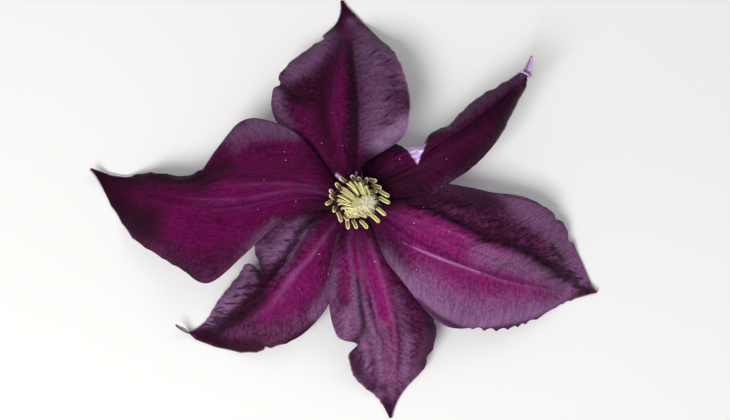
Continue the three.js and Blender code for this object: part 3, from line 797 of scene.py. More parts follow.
def velvet_face():
    """The face of a tepal: magenta along its ribs, dark aubergine beside them, with painted grey sheen and
    painted shade.
    """
    material, maker, shader = new_material("velvet tepal face")
    streaks = place_streaks(maker)
    veins, grain, nap, mottle = (streaks[name] for name in ("Veins", "Grain", "Nap", "Mottle"))

    def unevenly(name, mottled, veined):
        wobble = maker.times(maker.minus(mottle, 0.5), mottled)
        wobble = maker.plus(wobble, maker.times(maker.minus(veins, 0.5), veined))
        return maker.ramp(maker.plus(maker.attribute(name), wobble), 0.0, 1.0)

    dark = maker.mix(veins, rgb(44, 2, 25), rgb(60, 8, 38))
    vivid = maker.mix(grain, rgb(110, 2, 76), rgb(138, 10, 102))
    base = maker.mix(unevenly("glow", 0.26, 0.13), dark, vivid)
    patched = maker.mix(maker.times(streaks["Patches"], 0.25), base, rgb(60, 10, 50))
    # Painted sheen: greyish mauve where the face would catch the light, and along its margins.
    grey = maker.mix(veins, rgb(118, 77, 114), rgb(130, 91, 131))
    with_painted_sheen = maker.mix(unevenly("painted_sheen", 0.18, 0.1), patched, grey)
    lined = maker.mix(maker.times(maker.attribute("rib_line"), 0.65), with_painted_sheen, rgb(160, 98, 154))
    # Painted light: the boss's painted shadow and each tepal's painted light level, times a random speckle of
    # the nap.
    boss_shadow = maker.ramp(maker.attribute("along_mm"), 6.0, 20.0, 0.35, 1.0)
    speckled = maker.ramp(nap, 0.0, 1.0, 0.78, 1.16)
    light = maker.times(maker.times(maker.attribute("painted_light"), boss_shadow), speckled)
    toned = maker.mix(1.0, lined, maker.combine(light, light, light), "MULTIPLY")
    # Painted shade: the shade strokes, the creases' painted shade, and dark lines and soft dark bands along
    # the puckers.
    wrinkle = maker.attribute("wrinkle")
    raised = maker.plus(streaks["Puckers"], maker.times(wrinkle, 0.17))
    lines = maker.times(maker.ramp(raised, 0.655, 0.71), maker.ramp(wrinkle, 0.05, 0.4))
    shade = maker.math("MAXIMUM", unevenly("shade", 0.26, 0.18), maker.attribute("crease_shade"))
    soft_pucker_shade = maker.times(maker.ramp(raised, 0.5, 0.74), maker.times(wrinkle, 0.55))
    shade = maker.math("MAXIMUM", shade, maker.math("MAXIMUM", lines, soft_pucker_shade))
    shaded = maker.mix(maker.times(shade, 0.8), toned, rgb(23, 6, 15))
    # Pale lilac where the underside shows in a tuck, and painted highlights.
    lilac = maker.mix(maker.times(grain, 0.7), rgb(236, 212, 248), rgb(160, 92, 184))
    lilac_and_highlighted = maker.mix(maker.attribute("lilac_and_highlight"), shaded, lilac)
    rimmed = maker.mix(maker.times(maker.attribute("pale_rim"), 0.85), lilac_and_highlighted, rgb(196, 176, 190))
    near_boss = maker.ramp(maker.attribute("along_mm"), 12.0, 34.0, 1.0, 0.0)
    dust = maker.times(maker.times(streaks["Dust"], near_boss), maker.attribute("glow"))
    maker.feed(maker.mix(dust, rimmed, rgb(226, 210, 214)), shader["Base Color"])
    maker.feed(maker.ramp(nap, 0, 1, 0.5, 0.68), shader["Roughness"])
    shader["Sheen Weight"].default_value = 0.012
    shader["Sheen Roughness"].default_value = 0.45
    shader["Sheen Tint"].default_value = rgb(226, 196, 232)
    shader["Specular IOR Level"].default_value = 0.045
    weave = maker.plus(veins, maker.times(grain, 0.4))
    weave = maker.minus(weave, maker.times(lines, 2.0))
    coarse = maker.bump(weave, 0.055, 0.8)
    maker.feed(maker.bump(nap, 0.05, 0.7, coarse), shader["Normal"])
    return material


def silky_back():
    """The back of a tepal: pale lilac with purple lines, and greyish-green ribs under fine down."""
    material, maker, shader = new_material("silky tepal back")
    streaks = place_streaks(maker)
    veins, grain = streaks["Veins"], streaks["Grain"]
    lilac = maker.mix(veins, rgb(160, 118, 184), rgb(214, 186, 232))
    barred = maker.mix(maker.times(maker.attribute("glow"), 0.6), lilac, rgb(190, 176, 186))
    lined = maker.mix(maker.times(grain, 0.4), barred, rgb(132, 72, 148))
    ribbed = maker.mix(maker.times(maker.attribute("rib_line"), 0.75), lined, rgb(150, 150, 120))
    maker.feed(ribbed, shader["Base Color"])
    maker.feed(maker.ramp(grain, 0, 1, 0.45, 0.6), shader["Roughness"])
    shader["Sheen Weight"].default_value = 0.25
    shader["Sheen Roughness"].default_value = 0.35
    height = maker.plus(grain, maker.times(veins, 0.6))
    maker.feed(maker.bump(height, 0.1, 0.8), shader["Normal"])
    return material


def anther_and_filament():
    """A stamen: dark purple filament, and an anther of two cream pollen sacs beside an olive stripe."""
    material, maker, shader = new_material("anther and filament")
    speckle = maker.speckle(2600.0)
    stripe = maker.mix(maker.attribute("fresh"), rgb(112, 96, 24), rgb(142, 146, 40))
    sac = maker.mix(speckle, rgb(208, 198, 118), rgb(250, 242, 192))
    blush = maker.mix(maker.times(maker.attribute("blush"), 0.6, clamp=True), sac, rgb(238, 206, 190))
    flank = maker.math("MAXIMUM", maker.attribute("flank"), maker.attribute("end"))
    side = maker.plus(flank, maker.times(maker.minus(speckle, 0.5), 0.25))
    anther = maker.mix(maker.ramp(side, 0.32, 0.62), stripe, blush)
    filament = maker.mix(speckle, rgb(30, 10, 20), rgb(62, 36, 34))
    colour = maker.mix(maker.attribute("part"), filament, anther)
    dress(maker, shader, colour, speckle, (0.5, 0.7), (0.05, 0.6))
    return material


def silky_style():
    """The styles: cream with a yellow-green foot, covered in white silk."""
    material, maker, shader = new_material("silky style")
    speckle = maker.speckle(3000.0)
    foot = maker.mix(speckle, rgb(120, 112, 44), rgb(180, 176, 88))
    top = maker.mix(speckle, rgb(228, 223, 176), rgb(252, 250, 230))
    colour = maker.mix(maker.attribute("part"), foot, top)
    dress(maker, shader, colour, speckle, (0.45, 0.65), (0.04, 0.5))
    return material


def ribbed_stalk():
    """The stalk: olive green grooves between purple-brown ridges."""
    material, maker, shader = new_material("ribbed stalk")
    ridge = maker.attribute("ridge")
    mottle = maker.speckle(900.0, detail=4)
    green = maker.mix(mottle, rgb(86, 104, 46), rgb(138, 150, 78))
    brown = maker.mix(mottle, rgb(84, 52, 52), rgb(122, 82, 70))
    share = maker.plus(ridge, maker.times(maker.minus(mottle, 0.5), 0.7))
    colour = maker.mix(maker.ramp(share, 0.35, 0.8), green, brown)
    dress(maker, shader, colour, mottle, (0.4, 0.6), (0.08, 0.5))
    return material


def pale_table():
    material, maker, shader = new_material("pale table")
    mottle = maker.speckle(6.0, detail=2)
    maker.feed(maker.mix(mottle, rgb(222, 221, 218), rgb(228, 227, 224)), shader["Base Color"])
    shader["Roughness"].default_value = 0.75
    return material


# ------------------------------------------------------------------ tepals


def half_values(tepal, across, read):
    """A value of the right half where across is under 0, and of the left half elsewhere."""
    return np.where(across < 0, read(tepal["right"]), read(tepal["left"]))


def blade_middle(tepal, along, across):
    """The middle of a tepal's blade, from the flower's axis: nearly the solid's, with a toothed margin."""
    out = np.abs(across)
    spread = 1 - smoothstep(along, tepal["rests"] - SETTLING, tepal["rests"])
    body = spread * np.sqrt(np.sin(np.pi * np.clip(along, 0, 1)).clip(0))

    def width_of(half):
        nick = sum(depth * np.exp(-(((along - at) / span) ** 2)) for at, depth, span in half["nicks"])
        low, high, depth, spacing = half["teeth"]
        inside = smoothstep(along, low, low + 0.05) * (1 - smoothstep(along, high - 0.05, high))
        uneven = 0.75 + 0.5 * cloud(along / spacing * 0.7, 0 * along, TOOTH_SIZE_SEED)
        shift = 0.35 * cloud(along / spacing * 0.6, 0 * along, TOOTH_PLACE_SEED)
        tooth = np.abs(np.sin(np.pi * (along / spacing + shift)))
        pointed = (1 - tooth**0.8) * uneven
        return np.maximum(at_station(half["width"], along) - nick + depth * inside * (pointed - 0.4), 0.3)

    def wave_of(half):
        height, waves, phase = half["ruffle"]
        return height * np.sin(2 * np.pi * (waves * along + phase))

    width = half_values(tepal, across, width_of)
    rib = at_station(tepal["rib"], along)
    margin = half_values(tepal, across, lambda half: at_station(half["height"], along))
    bulge = half_values(tepal, across, lambda half: half["bulge"] + 0 * along)
    wave = half_values(tepal, across, wave_of)
    ridges = np.cos(2 * np.pi * out / SIDE_RIB) * (1 - smoothstep(out, SIDE_RIB, 2 * SIDE_RIB))
    ridges *= smoothstep(width, 2.8, 6.0)
    height = (
        rib
        + (margin - rib) * out**1.7
        + bulge * body * np.sin(np.pi * out)
        + wave * body * smoothstep(out, 0.45, 1)
        + RIB_RELIEF * body * ridges
    )
    forward = ROOT_RADIUS + (tepal["length"] - ROOT_RADIUS) * along
    sideways = at_station(tepal["sway"], along) + np.sign(across) * width * out
    bearing = math.radians(tepal["bearing"])
    points = np.stack(
        [
            forward * math.cos(bearing) - sideways * math.sin(bearing),
            forward * math.sin(bearing) + sideways * math.cos(bearing),
            height,
        ],
        axis=-1,
    )
    return points, width, forward, body


def route_distance(tepal, across_mm, along_mm, route):
    """How far each point of a blade is from a line drawn on it, in millimetres, and where along that line."""
    shares = np.array(route, float)
    widths = np.where(
        shares[:, 1] < 0,
        at_station(tepal["right"]["width"], shares[:, 0]),
        at_station(tepal["left"]["width"], shares[:, 0]),
    )
    forward = ROOT_RADIUS + (tepal["length"] - ROOT_RADIUS) * shares[:, 0]
    corners = np.stack([shares[:, 1] * widths, forward], 1)
    smooth = np.linspace(0, 1, 6 * (len(corners) - 1) + 1)
    line = np.stack([at_station(corners[:, 0], smooth), at_station(corners[:, 1], smooth)], 1)
    nearest = np.full(across_mm.shape, FAR)
    place = np.zeros(across_mm.shape)
    for i, ((x0, y0), (x1, y1)) in enumerate(zip(line[:-1], line[1:])):
        dx, dy = x1 - x0, y1 - y0
        t = np.clip(((across_mm - x0) * dx + (along_mm - y0) * dy) / (dx * dx + dy * dy), 0, 1)
        distance = np.hypot(across_mm - x0 - t * dx, along_mm - y0 - t * dy)
        closer = distance < nearest
        nearest = np.where(closer, distance, nearest)
        place = np.where(closer, (i + t) / (len(line) - 1), place)
    return nearest, place


def strokes(tepal, kind, across_mm, along_mm, ground=0.0):
    """Soft strokes laid over a ground and over one another, each a [route, width, strength]."""
    bare = np.full(across_mm.shape, 1 - ground)
    for route, width, strength in tepal[kind]:
        distance, _ = route_distance(tepal, across_mm, along_mm, route)
        bare *= 1 - strength * np.exp(-((distance / width) ** 2))
    return 1 - bare


def blade_relief(tepal, across, across_mm, along_mm, body):
    """What stands out of a blade or sinks into it, the painted shade in its creases, and where its pale rib
    lines are.
    """
    out = np.abs(across)
    aside = np.abs(across_mm)
    seed = int(tepal["length"] * 10)
    relief = np.zeros(across.shape)
    crease_shade = np.zeros(across.shape)
    lines = np.zeros(across.shape)
    for route, width, height, paleness in tepal["ribs"]:
        distance, place = route_distance(tepal, across_mm, along_mm, route)
        fade = smoothstep(place, 0, 0.06) * (1 - smoothstep(place, 0.7, 1))
        ridge = np.exp(-((distance / width) ** 2)) * fade
        relief += height * ridge * body
        uneven = 0.75 + 0.35 * cloud(across_mm / 0.8, along_mm / 2.5, seed)
        lines = np.maximum(lines, np.exp(-((distance / (0.8 * width)) ** 2)) * fade * paleness * uneven)
    for sign, half in ((1, tepal["left"]), (-1, tepal["right"])):
        here = (across * sign) >= 0
        height, spacing, start = half["folds"]
        warp = 0.8 * cloud(across_mm / 7, along_mm / 7, seed + WARP)
        sheared = along_mm - half["slant"] * aside + warp
        patchy = 0.7 + 0.6 * cloud(across_mm / 11, along_mm / 11, seed + FOLD_PATCHES)
        strength = smoothstep(out, start, start + 0.35) * patchy
        folds = tangle(sheared / spacing, across_mm / 11, seed + FOLDS)
        relief += np.where(here, 1.3 * height * folds * strength * body, 0)
        veins = tangle(sheared / 1.1, across_mm / 6, seed + VEINS)
        grown = smoothstep(out, 0.16, 0.5)
        relief += np.where(here, 0.04 * veins * grown * body, 0)
        for route, depth, width, wrinkled in half["creases"]:
            distance, place = route_distance(tepal, across_mm, along_mm, route)
            fade = smoothstep(place, 0, 0.12) * (1 - smoothstep(place, 0.85, 1))
            valley = np.exp(-((distance / width) ** 2)) * fade
            shoulder = np.exp(-(((distance - 2.2 * width) / (1.2 * width)) ** 2)) * fade
            near = np.exp(-((distance / 4.6) ** 2)) * fade
            tucks = tangle((along_mm - 1.3 * aside + warp) / 1.35, across_mm / 5, seed + WRINKLES)
            relief += body * (0.4 * depth * shoulder - depth * valley + 1.5 * wrinkled * tucks * near)
            # Painted shade in the crease's valley and in the pinched tucks beside it.
            pinched = 2.2 * near * wrinkled * np.clip(-tucks, 0, 1) * 2
            crease_shade = np.maximum(crease_shade, np.clip(valley + pinched, 0, 1))
    relief += 0.2 * tangle(across_mm / 5, along_mm / 7, seed + SWELL) * body * smoothstep(out, 0.1, 0.5)
    return relief, np.clip(crease_shade, 0, 1), np.clip(lines, 0, 1)


def turned(points, centre, axis, angle):
    """Points turned about an axis through centre, each by its own angle."""
    arm = points - centre
    axis = np.broadcast_to(axis, arm.shape)
    cos, sin = np.cos(angle)[:, None], np.sin(angle)[:, None]
    along = (arm * axis).sum(1, keepdims=True) * axis
    return centre + arm * cos + np.cross(axis, arm) * sin + along * (1 - cos)


def shaped_tip(tepal, points, along):
    """Twists a tepal's last stretch about its rib, lifts it and swings it to one side."""
    tip = tepal["tip"]
    rib_points = blade_middle(tepal, along, np.zeros(along.shape))[0]
    bearing = math.radians(tepal["bearing"])
    outward = np.array([math.cos(bearing), math.sin(bearing), 0])
    sideways = np.array([-math.sin(bearing), math.cos(bearing), 0])
    twist = math.radians(tip["twist"]) * smoothstep(along, tip["from"], tip["to"])
    points = turned(points, rib_points, outward, twist)
    bent = np.clip((along - tip["from"]) / (1 - tip["from"]), 0, 1) ** 1.6
    return points + bent[:, None] * (tip["swing"] * sideways + tip["lift"] * np.array([0, 0, 1]))


def lifted_off_the_table(points):
    """Keeps a sheet above the table, resting on it softly where it would sink in."""
    above = np.logaddexp(0, (points[:, 2] - FLOOR_CLEARANCE) / TABLE_SOFTNESS)
    points[:, 2] = FLOOR_CLEARANCE + TABLE_SOFTNESS * above
    return points


def make_sheet(name, columns, rows):
    """A flat grid to shape: its points' shares across (-1 to 1, left over 0) and along (0 to 1)."""
    bpy.ops.mesh.primitive_grid_add(x_subdivisions=columns, y_subdivisions=rows, size=1)
    sheet = bpy.context.active_object
    sheet.name = name
    flat = mesh_points(sheet) * MM
    return sheet, -2 * flat[:, 0], flat[:, 1] + 0.5


def thickened(sheet, upper, under):
    """Gives a shaped sheet its two materials and its thickness."""
    only(sheet)
    bpy.ops.object.mode_set(mode="EDIT")
    bpy.ops.mesh.select_all(action="SELECT")
    bpy.ops.mesh.normals_make_consistent(inside=False)
    bpy.ops.object.mode_set(mode="OBJECT")
    if sum(face.normal.z for face in sheet.data.polygons) < 0:
        sheet.data.flip_normals()
    sheet.data.materials.append(upper)
    sheet.data.materials.append(under)
    use_modifier(sheet, "SOLIDIFY", thickness=BLADE * MM, offset=0, material_offset=1)
    bpy.ops.object.shade_smooth()


def tucked_in(tepal, across_mm, along_mm):
    """How many millimetres inside its tuck each point is: a slanted V where the margin is pinched in."""
    if "tuck" not in tepal:
        return np.full(across_mm.shape, -FAR)
    inside = np.full(across_mm.shape, FAR)
    corners = tepal["tuck"]
    for (x0, y0), (x1, y1) in zip(corners, corners[1:] + corners[:1]):
        length = math.hypot(x1 - x0, y1 - y0)
        depth = ((across_mm - x0) * (y1 - y0) - (along_mm - y0) * (x1 - x0)) / length
        inside = np.minimum(inside, depth + 0.18 * cloud(across_mm * 0.9, along_mm * 0.9, TUCK_SEED))
    return inside


def make_tepal(tepal, face, back):
    sheet, across, along = make_sheet(tepal["name"] + "_blade", COLUMNS, ROWS)
    across = np.sign(across) * np.abs(across) ** COLUMN_SPREAD
    points, width, along_mm, body = blade_middle(tepal, along, across)
    across_mm = across * width
    forward = blade_middle(tepal, along + SLOPE_STEP, across)[0]
    forward = forward - blade_middle(tepal, along - SLOPE_STEP, across)[0]
    left = blade_middle(tepal, along, np.clip(across + SLOPE_STEP, -1, 1))[0]
    left = left - blade_middle(tepal, along, np.clip(across - SLOPE_STEP, -1, 1))[0]
    facing = np.cross(forward, left)
    facing /= np.linalg.norm(facing, axis=1, keepdims=True) + 1e-12
    relief, crease_shade, lines = blade_relief(tepal, across, across_mm, along_mm, body)
    tuck = tucked_in(tepal, across_mm, along_mm)
    relief -= TUCK_DEPTH * smoothstep(tuck, -0.4, 1.1)
    points = shaped_tip(tepal, points + facing * relief[:, None], along)
    set_mesh_points(sheet, lifted_off_the_table(points) + AXIS)

    def rim_of(half):
        low, high, strength = half["rim"]
        return strength * smoothstep(along, low, low + 0.06) * (1 - smoothstep(along, high, high + 0.05))

    def slant_of(half):
        return half["slant"] + 0 * along

    def lean_of(half):
        return half["lean"][0] + (half["lean"][1] - half["lean"][0]) * along**2

    edge_mm = width * (1 - np.abs(across))
    store(sheet, "across_mm", across_mm)
    store(sheet, "along_mm", along_mm)
    store(sheet, "vein_mm", along_mm - half_values(tepal, across, slant_of) * np.abs(across_mm))
    lean = half_values(tepal, across, lean_of)
    warp = 0.7 * tangle(across_mm / 4, along_mm / 4, PUCKER_SEED)
    store(sheet, "pucker_mm", (along_mm - lean * np.abs(across_mm) + warp) / np.sqrt(1 + lean**2))
    store(sheet, "reach_mm", (np.abs(across_mm) + lean * along_mm) / np.sqrt(1 + lean**2))
    store(sheet, "wrinkle", strokes(tepal, "wrinkles", across_mm, along_mm))
    # Painted shade in the creases.
    store(sheet, "crease_shade", crease_shade)
    store(sheet, "rib_line", lines)
    store(sheet, "glow", strokes(tepal, "glow", across_mm, along_mm, tepal["ground"][0]))
    # Painted greyish sheen: the strokes over the ground, and more along the margins.
    bare = 1 - MARGIN_SHEEN * smoothstep(np.abs(across), 0.65, 1) * smoothstep(along, 0.1, 0.3)
    painted_sheen = strokes(tepal, "painted_sheen", across_mm, along_mm, tepal["ground"][1])
    store(sheet, "painted_sheen", 1 - (1 - painted_sheen) * bare)
    store(sheet, "shade", strokes(tepal, "shade", across_mm, along_mm))
    # Pale lilac where the underside shows in the tuck, and painted highlights.
    lilac_and_highlight = np.maximum(strokes(tepal, "lilac_and_highlights", across_mm, along_mm), smoothstep(tuck, -0.1, 0.3))
    store(sheet, "lilac_and_highlight", lilac_and_highlight)
    # Painted light: how light the whole face is painted.
    store(sheet, "painted_light", np.full(along.shape, tepal["painted_light"]))
    store(sheet, "pale_rim", half_values(tepal, across, rim_of) * (1 - smoothstep(edge_mm, 0.1, 0.42)))
    thickened(sheet, face, back)
    return finished(sheet, tepal["name"], "tepals")


# ------------------------------------------------------------------ rods: stamens, styles and hairs


def make_rod(name, sides, rings):
    """An upright rod of unit radius and unit height, closed at both ends, with even rings."""
    bpy.ops.mesh.primitive_circle_add(vertices=sides, radius=1, fill_type="NGON")
    rod = bpy.context.active_object
    rod.name = name
    bpy.ops.object.mode_set(mode="EDIT")
    bpy.ops.mesh.select_all(action="SELECT")
    for _ in range(rings):
        bpy.ops.mesh.extrude_region_move(TRANSFORM_OT_translate={"value": (0, 0, 1 / rings)})
    bpy.ops.mesh.select_all(action="SELECT")
    bpy.ops.mesh.normals_make_consistent(inside=False)
    bpy.ops.object.mode_set(mode="OBJECT")
    return rod


def unit_points(rod):
    return mesh_points(rod) * MM


def round_about(points):
    """The angle and the distance of each point about an upright axis."""
    return np.arctan2(points[:, 1], points[:, 0]), np.hypot(points[:, 0], points[:, 1])


def copy_of(thing, name):
    """A copy with its own mesh."""
    copied = thing.copy()
    copied.data = thing.data.copy()
    copied.name = name
    bpy.context.collection.objects.link(copied)
    return copied


def curve_through(route, shares):
    """Points and directions on a smooth curve through a route, at even shares of its stations."""
    route = np.asarray(route, float)
    knots = np.concatenate([[0], np.cumsum(np.linalg.norm(np.diff(route, axis=0), axis=1))])
    knots /= knots[-1]
    dense = np.linspace(0, 1, 60)
    place = np.interp(dense, knots, np.linspace(0, 1, len(route)))
    line = np.stack([at_station(route[:, k], place) for k in range(3)], axis=-1)
    length = np.concatenate([[0], np.cumsum(np.linalg.norm(np.diff(line, axis=0), axis=1))])
    even = shares * length[-1]
    points = np.stack([np.interp(even, length, line[:, k]) for k in range(3)], axis=-1)
    slopes = np.gradient(line, axis=0)
    ways = np.stack([np.interp(even, length, slopes[:, k]) for k in range(3)], axis=-1)
    return points, ways / (np.linalg.norm(ways, axis=1, keepdims=True) + 1e-12)


def lay_rod(rod, route, side):
    """Bends an upright rod, one millimetre tall, along a route. side: the way that its width runs."""
    local = mesh_points(rod)
    points, ways = curve_through(route, np.clip(local[:, 2], 0, 1))
    side = np.broadcast_to(np.asarray(side, float), ways.shape)
    side = side - (side * ways).sum(1, keepdims=True) * ways
    side /= np.linalg.norm(side, axis=1, keepdims=True) + 1e-12
    deep = np.cross(ways, side)
    set_mesh_points(rod, points + side * local[:, :1] + deep * local[:, 1:2] + AXIS)


ANTHER_START = 0.56
ANTHER_LENGTH = 3.3
STAMEN_SIDES = 14
FEET_RADIUS = 2.5  # the ring of the stamens' feet, to its middle
FEET_HALF_WIDTH = 0.8


def stamen_pattern():
    """A stamen to copy: a flat filament, and an anther of two long pollen sacs with a groove between them."""
    rod = make_rod("stamen_pattern", STAMEN_SIDES, 22)
    unit = unit_points(rod)
    share = unit[:, 2]
    angle, radius = round_about(unit)
    anther = smoothstep(share, ANTHER_START - 0.02, ANTHER_START + 0.04)
    ending = np.sqrt(np.clip((1 - share) / 0.07, 0, 1))
    wide = (0.2 + (0.54 - 0.2) * anther) * np.where(share > 0.93, 0.35 + 0.65 * ending, 1)
    deep = (0.14 + (0.36 - 0.14) * anther) * np.where(share > 0.93, 0.4 + 0.6 * ending, 1)
    groove = 1 - 0.5 * anther * np.exp(-((np.cos(angle) / 0.33) ** 2))
    place = np.stack([wide * np.cos(angle) * radius, deep * np.sin(angle) * groove * radius, share], axis=-1)
    set_mesh_points(rod, place)
    store(rod, "flank", np.abs(np.cos(angle)) * radius)
    store(rod, "part", anther)
    store(rod, "end", smoothstep(share, 0.95, 0.99))
    return rod


def lay_stamen(stamen, route, side, slim=1.0, fresh=0.5, blush=0.0, anther_length=ANTHER_LENGTH):
    """Lays a stamen along a route so that its anther keeps its true length, whatever the filament's."""
    route = np.asarray(route, float)
    total = np.linalg.norm(np.diff(route, axis=0), axis=1).sum()
    anther = min(anther_length / total, 0.85)
    local = mesh_points(stamen)
    share = local[:, 2]
    local[:, 0] *= slim
    local[:, 2] = np.where(
        share < ANTHER_START,
        share / ANTHER_START * (1 - anther),
        1 - anther + (share - ANTHER_START) / (1 - ANTHER_START) * anther,
    )
    set_mesh_points(stamen, local)
    lay_rod(stamen, route, side)
    store(stamen, "fresh", np.full(len(local), fresh))
    store(stamen, "blush", np.full(len(local), blush))


# The spread stamens: where the middle of each anther is from the axis, its heading, its length as seen from
# above, how fresh green its stripe is and how much its sacs blush.
SPREAD_ANTHERS = [
    [-6.6, 2.2, 150, 1.6, 0.1, 1.0],
    [-6.6, 0.9, 165, 1.3, 0.1, 0.8],
    [-7.4, -0.7, -138, 2.3, 0.8, 0.0],
    [-5.0, 3.9, 140, 1.6, 0.2, 0.5],
    [-3.7, 5.5, 158, 2.2, 0.2, 0.4],
    [-0.9, 6.0, 140, 1.6, 0.2, 0.6],
    [0.9, 5.2, 128, 2.0, 0.1, 1.0],
    [2.4, 5.2, 60, 1.4, 0.3, 0.3],
    [4.2, 5.4, -19, 2.3, 0.1, 0.7],
    [5.2, 3.8, -25, 2.9, 0.1, 0.5],
    [4.7, 2.6, -46, 2.0, 0.1, 1.0],
    [7.2, 1.8, -28, 3.4, 0.4, 0.2],
    [7.3, 0.0, -27, 3.3, 0.5, 0.1],
    [6.4, -3.0, -40, 3.4, 0.9, 0.1],
    [4.8, -4.9, -44, 3.5, 1.0, 0.0],
    [1.9, -6.5, -52, 3.1, 0.6, 0.2],
    [-0.5, -6.4, -68, 2.9, 0.3, 0.3],
    [-2.4, -6.5, -84, 2.9, 0.5, 0.2],
    [-4.5, -4.5, -75, 3.1, 0.2, 0.5],
    [-5.9, -2.4, -100, 2.2, 0.1, 0.3],
    [-2.9, -4.6, -55, 2.4, 0.1, 1.0],
]
SPREAD_HEIGHT = 17.6


def spread_stamens(pattern, draw):
    made = []
    for x, y, heading, seen, fresh, blush in SPREAD_ANTHERS:
        heading = math.radians(heading)
        pitch = math.acos(min(seen / ANTHER_LENGTH, 1))
        flat = math.cos(pitch)
        way = np.array([math.cos(heading) * flat, math.sin(heading) * flat, math.sin(pitch)])
        middle = np.array([x, y, SPREAD_HEIGHT + draw.uniform(-0.3, 0.3)])
        start = middle - way * ANTHER_LENGTH / 2
        end = middle + way * ANTHER_LENGTH / 2
        angle = math.atan2(start[1], start[0])
        root = np.array([FEET_RADIUS * math.cos(angle), FEET_RADIUS * math.sin(angle), 15.9])
        bend = (root + start) / 2 + np.array([0, 0, 0.4])
        waist = middle + np.array([0, 0, draw.uniform(0.05, 0.3)])
        stamen = copy_of(pattern, "stamen")
        side = np.cross(np.array([0, 0, 1.0]), way) + 0.35 * draw.uniform(-1, 1) * np.array([0, 0, 1.0])
        lay_stamen(stamen, [root, bend, start, waist, end], side, 1.0, fresh, blush)
        made.append(stamen)
    return made


# The dome: its middle, from the axis, and the middle of the gap that its anthers' tips leave for the styles.
DOME_MIDDLE = [-0.75, 0.0]
DOME_MOUTH = [1.3, -1.8]

# Anthers that curl round below the styles, each through four places from the axis.
WHORL = [
    [[-1.5, -0.9], [-1.4, -2.7], [-0.5, -4.0], [0.8, -4.7]],
    [[-0.9, -1.0], [-0.7, -2.3], [0.2, -3.3], [1.4, -3.7]],
    [[-2.1, -1.3], [-2.0, -3.1], [-1.3, -4.5], [0.1, -5.2]],
    [[-0.3, -1.5], [0.0, -2.4], [0.7, -2.9], [1.9, -2.8]],
    [[-2.7, -1.6], [-2.8, -3.2], [-2.2, -4.5], [-1.0, -5.3]],
    [[0.9, -3.9], [1.6, -4.3], [2.2, -4.6], [2.5, -5.4]],
]


def curled_stamens(pattern, draw):
    """The dome: stamens that rise from the ring, bow out and bend in over the styles."""
    made = []
    layers = (
        # count, root, waist, bow, tip's reach from the mouth, height, slimness
        (29, 2.7, 4.7, 5.0, 2.5, 22.3, 0.47),
        (18, 2.3, 3.7, 4.0, 2.0, 21.6, 0.52),
    )
    for layer, (count, root, waist, bow, reach, top, slim) in enumerate(layers):
        for i in range(count):
            angle = 2 * math.pi * (i + 0.5 * layer + draw.uniform(-0.2, 0.2)) / count
            lean = draw.uniform(-0.16, 0.16)
            sunk = max(0, math.cos(angle - math.radians(-55))) ** 2
            peak = top + draw.uniform(-0.3, 0.3) - 1.6 * sunk
            tip_reach = reach + draw.uniform(-0.4, 0.35) + 1.2 * sunk

            def at(radius, height, turn=0.0, middle=DOME_MIDDLE):
                spin = angle + turn
                return [middle[0] + radius * math.cos(spin), middle[1] + radius * math.sin(spin), height]

            route = [
                at(root, 16.2, 0, [0, 0]),
                at(waist, 18.4, 0.3 * lean),
                at(bow, 20.1, 0.6 * lean),
                at(bow - 0.8, peak - 0.75, lean),
                at((bow - 0.8 + tip_reach) / 2 + 0.2, peak, 1.3 * lean, [0.1, -0.6]),
                at(tip_reach, peak - 0.1, 1.8 * lean, DOME_MOUTH),
            ]
            stamen = copy_of(pattern, "stamen")
            turn = angle + lean + math.pi / 2
            side = [math.cos(turn), math.sin(turn), draw.uniform(-0.45, 0.45)]
            lay_stamen(stamen, route, side, slim, draw.uniform(0.1, 0.7), draw.uniform(-0.2, 0), 4.4)
            made.append(stamen)
    for places in WHORL:
        (x0, y0), (x3, y3) = places[0], places[3]
        route = [[0.5 * x0, 0.5 * y0, 17.0], [0.85 * x0, 0.85 * y0, 20.6]]
        for k, (x, y) in enumerate(places):
            route.append([x, y, mat_height(x, y) - (0.5, 0.0, 0.0, 0.3)[k]])
        stamen = copy_of(pattern, "stamen")
        lay_stamen(stamen, route, [y3 - y0, x0 - x3, draw.uniform(-0.8, 0.8)], 0.6, 0.35, 0.1, 4.2)
        made.append(stamen)
    return made


def mark_as_filament(thing):
    for name in ("flank", "part", "end", "fresh", "blush"):
        store(thing, name, np.zeros(len(thing.data.vertices)))


def dark_heart():
    """The dome's dark heart, in the filaments' colour: the filaments packed inside it, and the painted shade
    between them.
    """
    bpy.ops.mesh.primitive_uv_sphere_add(segments=48, ring_count=24, radius=1)
    heart = bpy.context.active_object
    heart.name = "shaded_filament_core"
    unit = mesh_points(heart) * MM
    angle, _ = round_about(unit)
    wide = 3.9 * (1 + 0.03 * np.cos(24 * angle))
    place = [DOME_MIDDLE[0] + wide * unit[:, 0], DOME_MIDDLE[1] + wide * unit[:, 1], 18.3 + 2.5 * unit[:, 2]]
    set_mesh_points(heart, np.stack(place, axis=-1) + AXIS)
    mark_as_filament(heart)
    return heart


def root_ring():
    """The crowded feet of the stamens, on top of the receptacle: a ribbed ring."""
    low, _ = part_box("stamens")
    bpy.ops.mesh.primitive_torus_add(
        major_radius=FEET_RADIUS * MM, minor_radius=FEET_HALF_WIDTH * MM, major_segments=96, minor_segments=16
    )
    ring = bpy.context.active_object
    ring.name = "stamen_feet"
    points = mesh_points(ring)
    angle, radius = round_about(points)
    outside = np.clip((radius - FEET_RADIUS) / FEET_HALF_WIDTH, 0, 1)
    radius = radius + 0.14 * np.cos(28 * angle) * outside
    place = [radius * np.cos(angle), radius * np.sin(angle), points[:, 2] * 1.05 + low[2] / MM + 0.85]
    set_mesh_points(ring, np.stack(place, axis=-1) + AXIS)
    mark_as_filament(ring)
    return ring


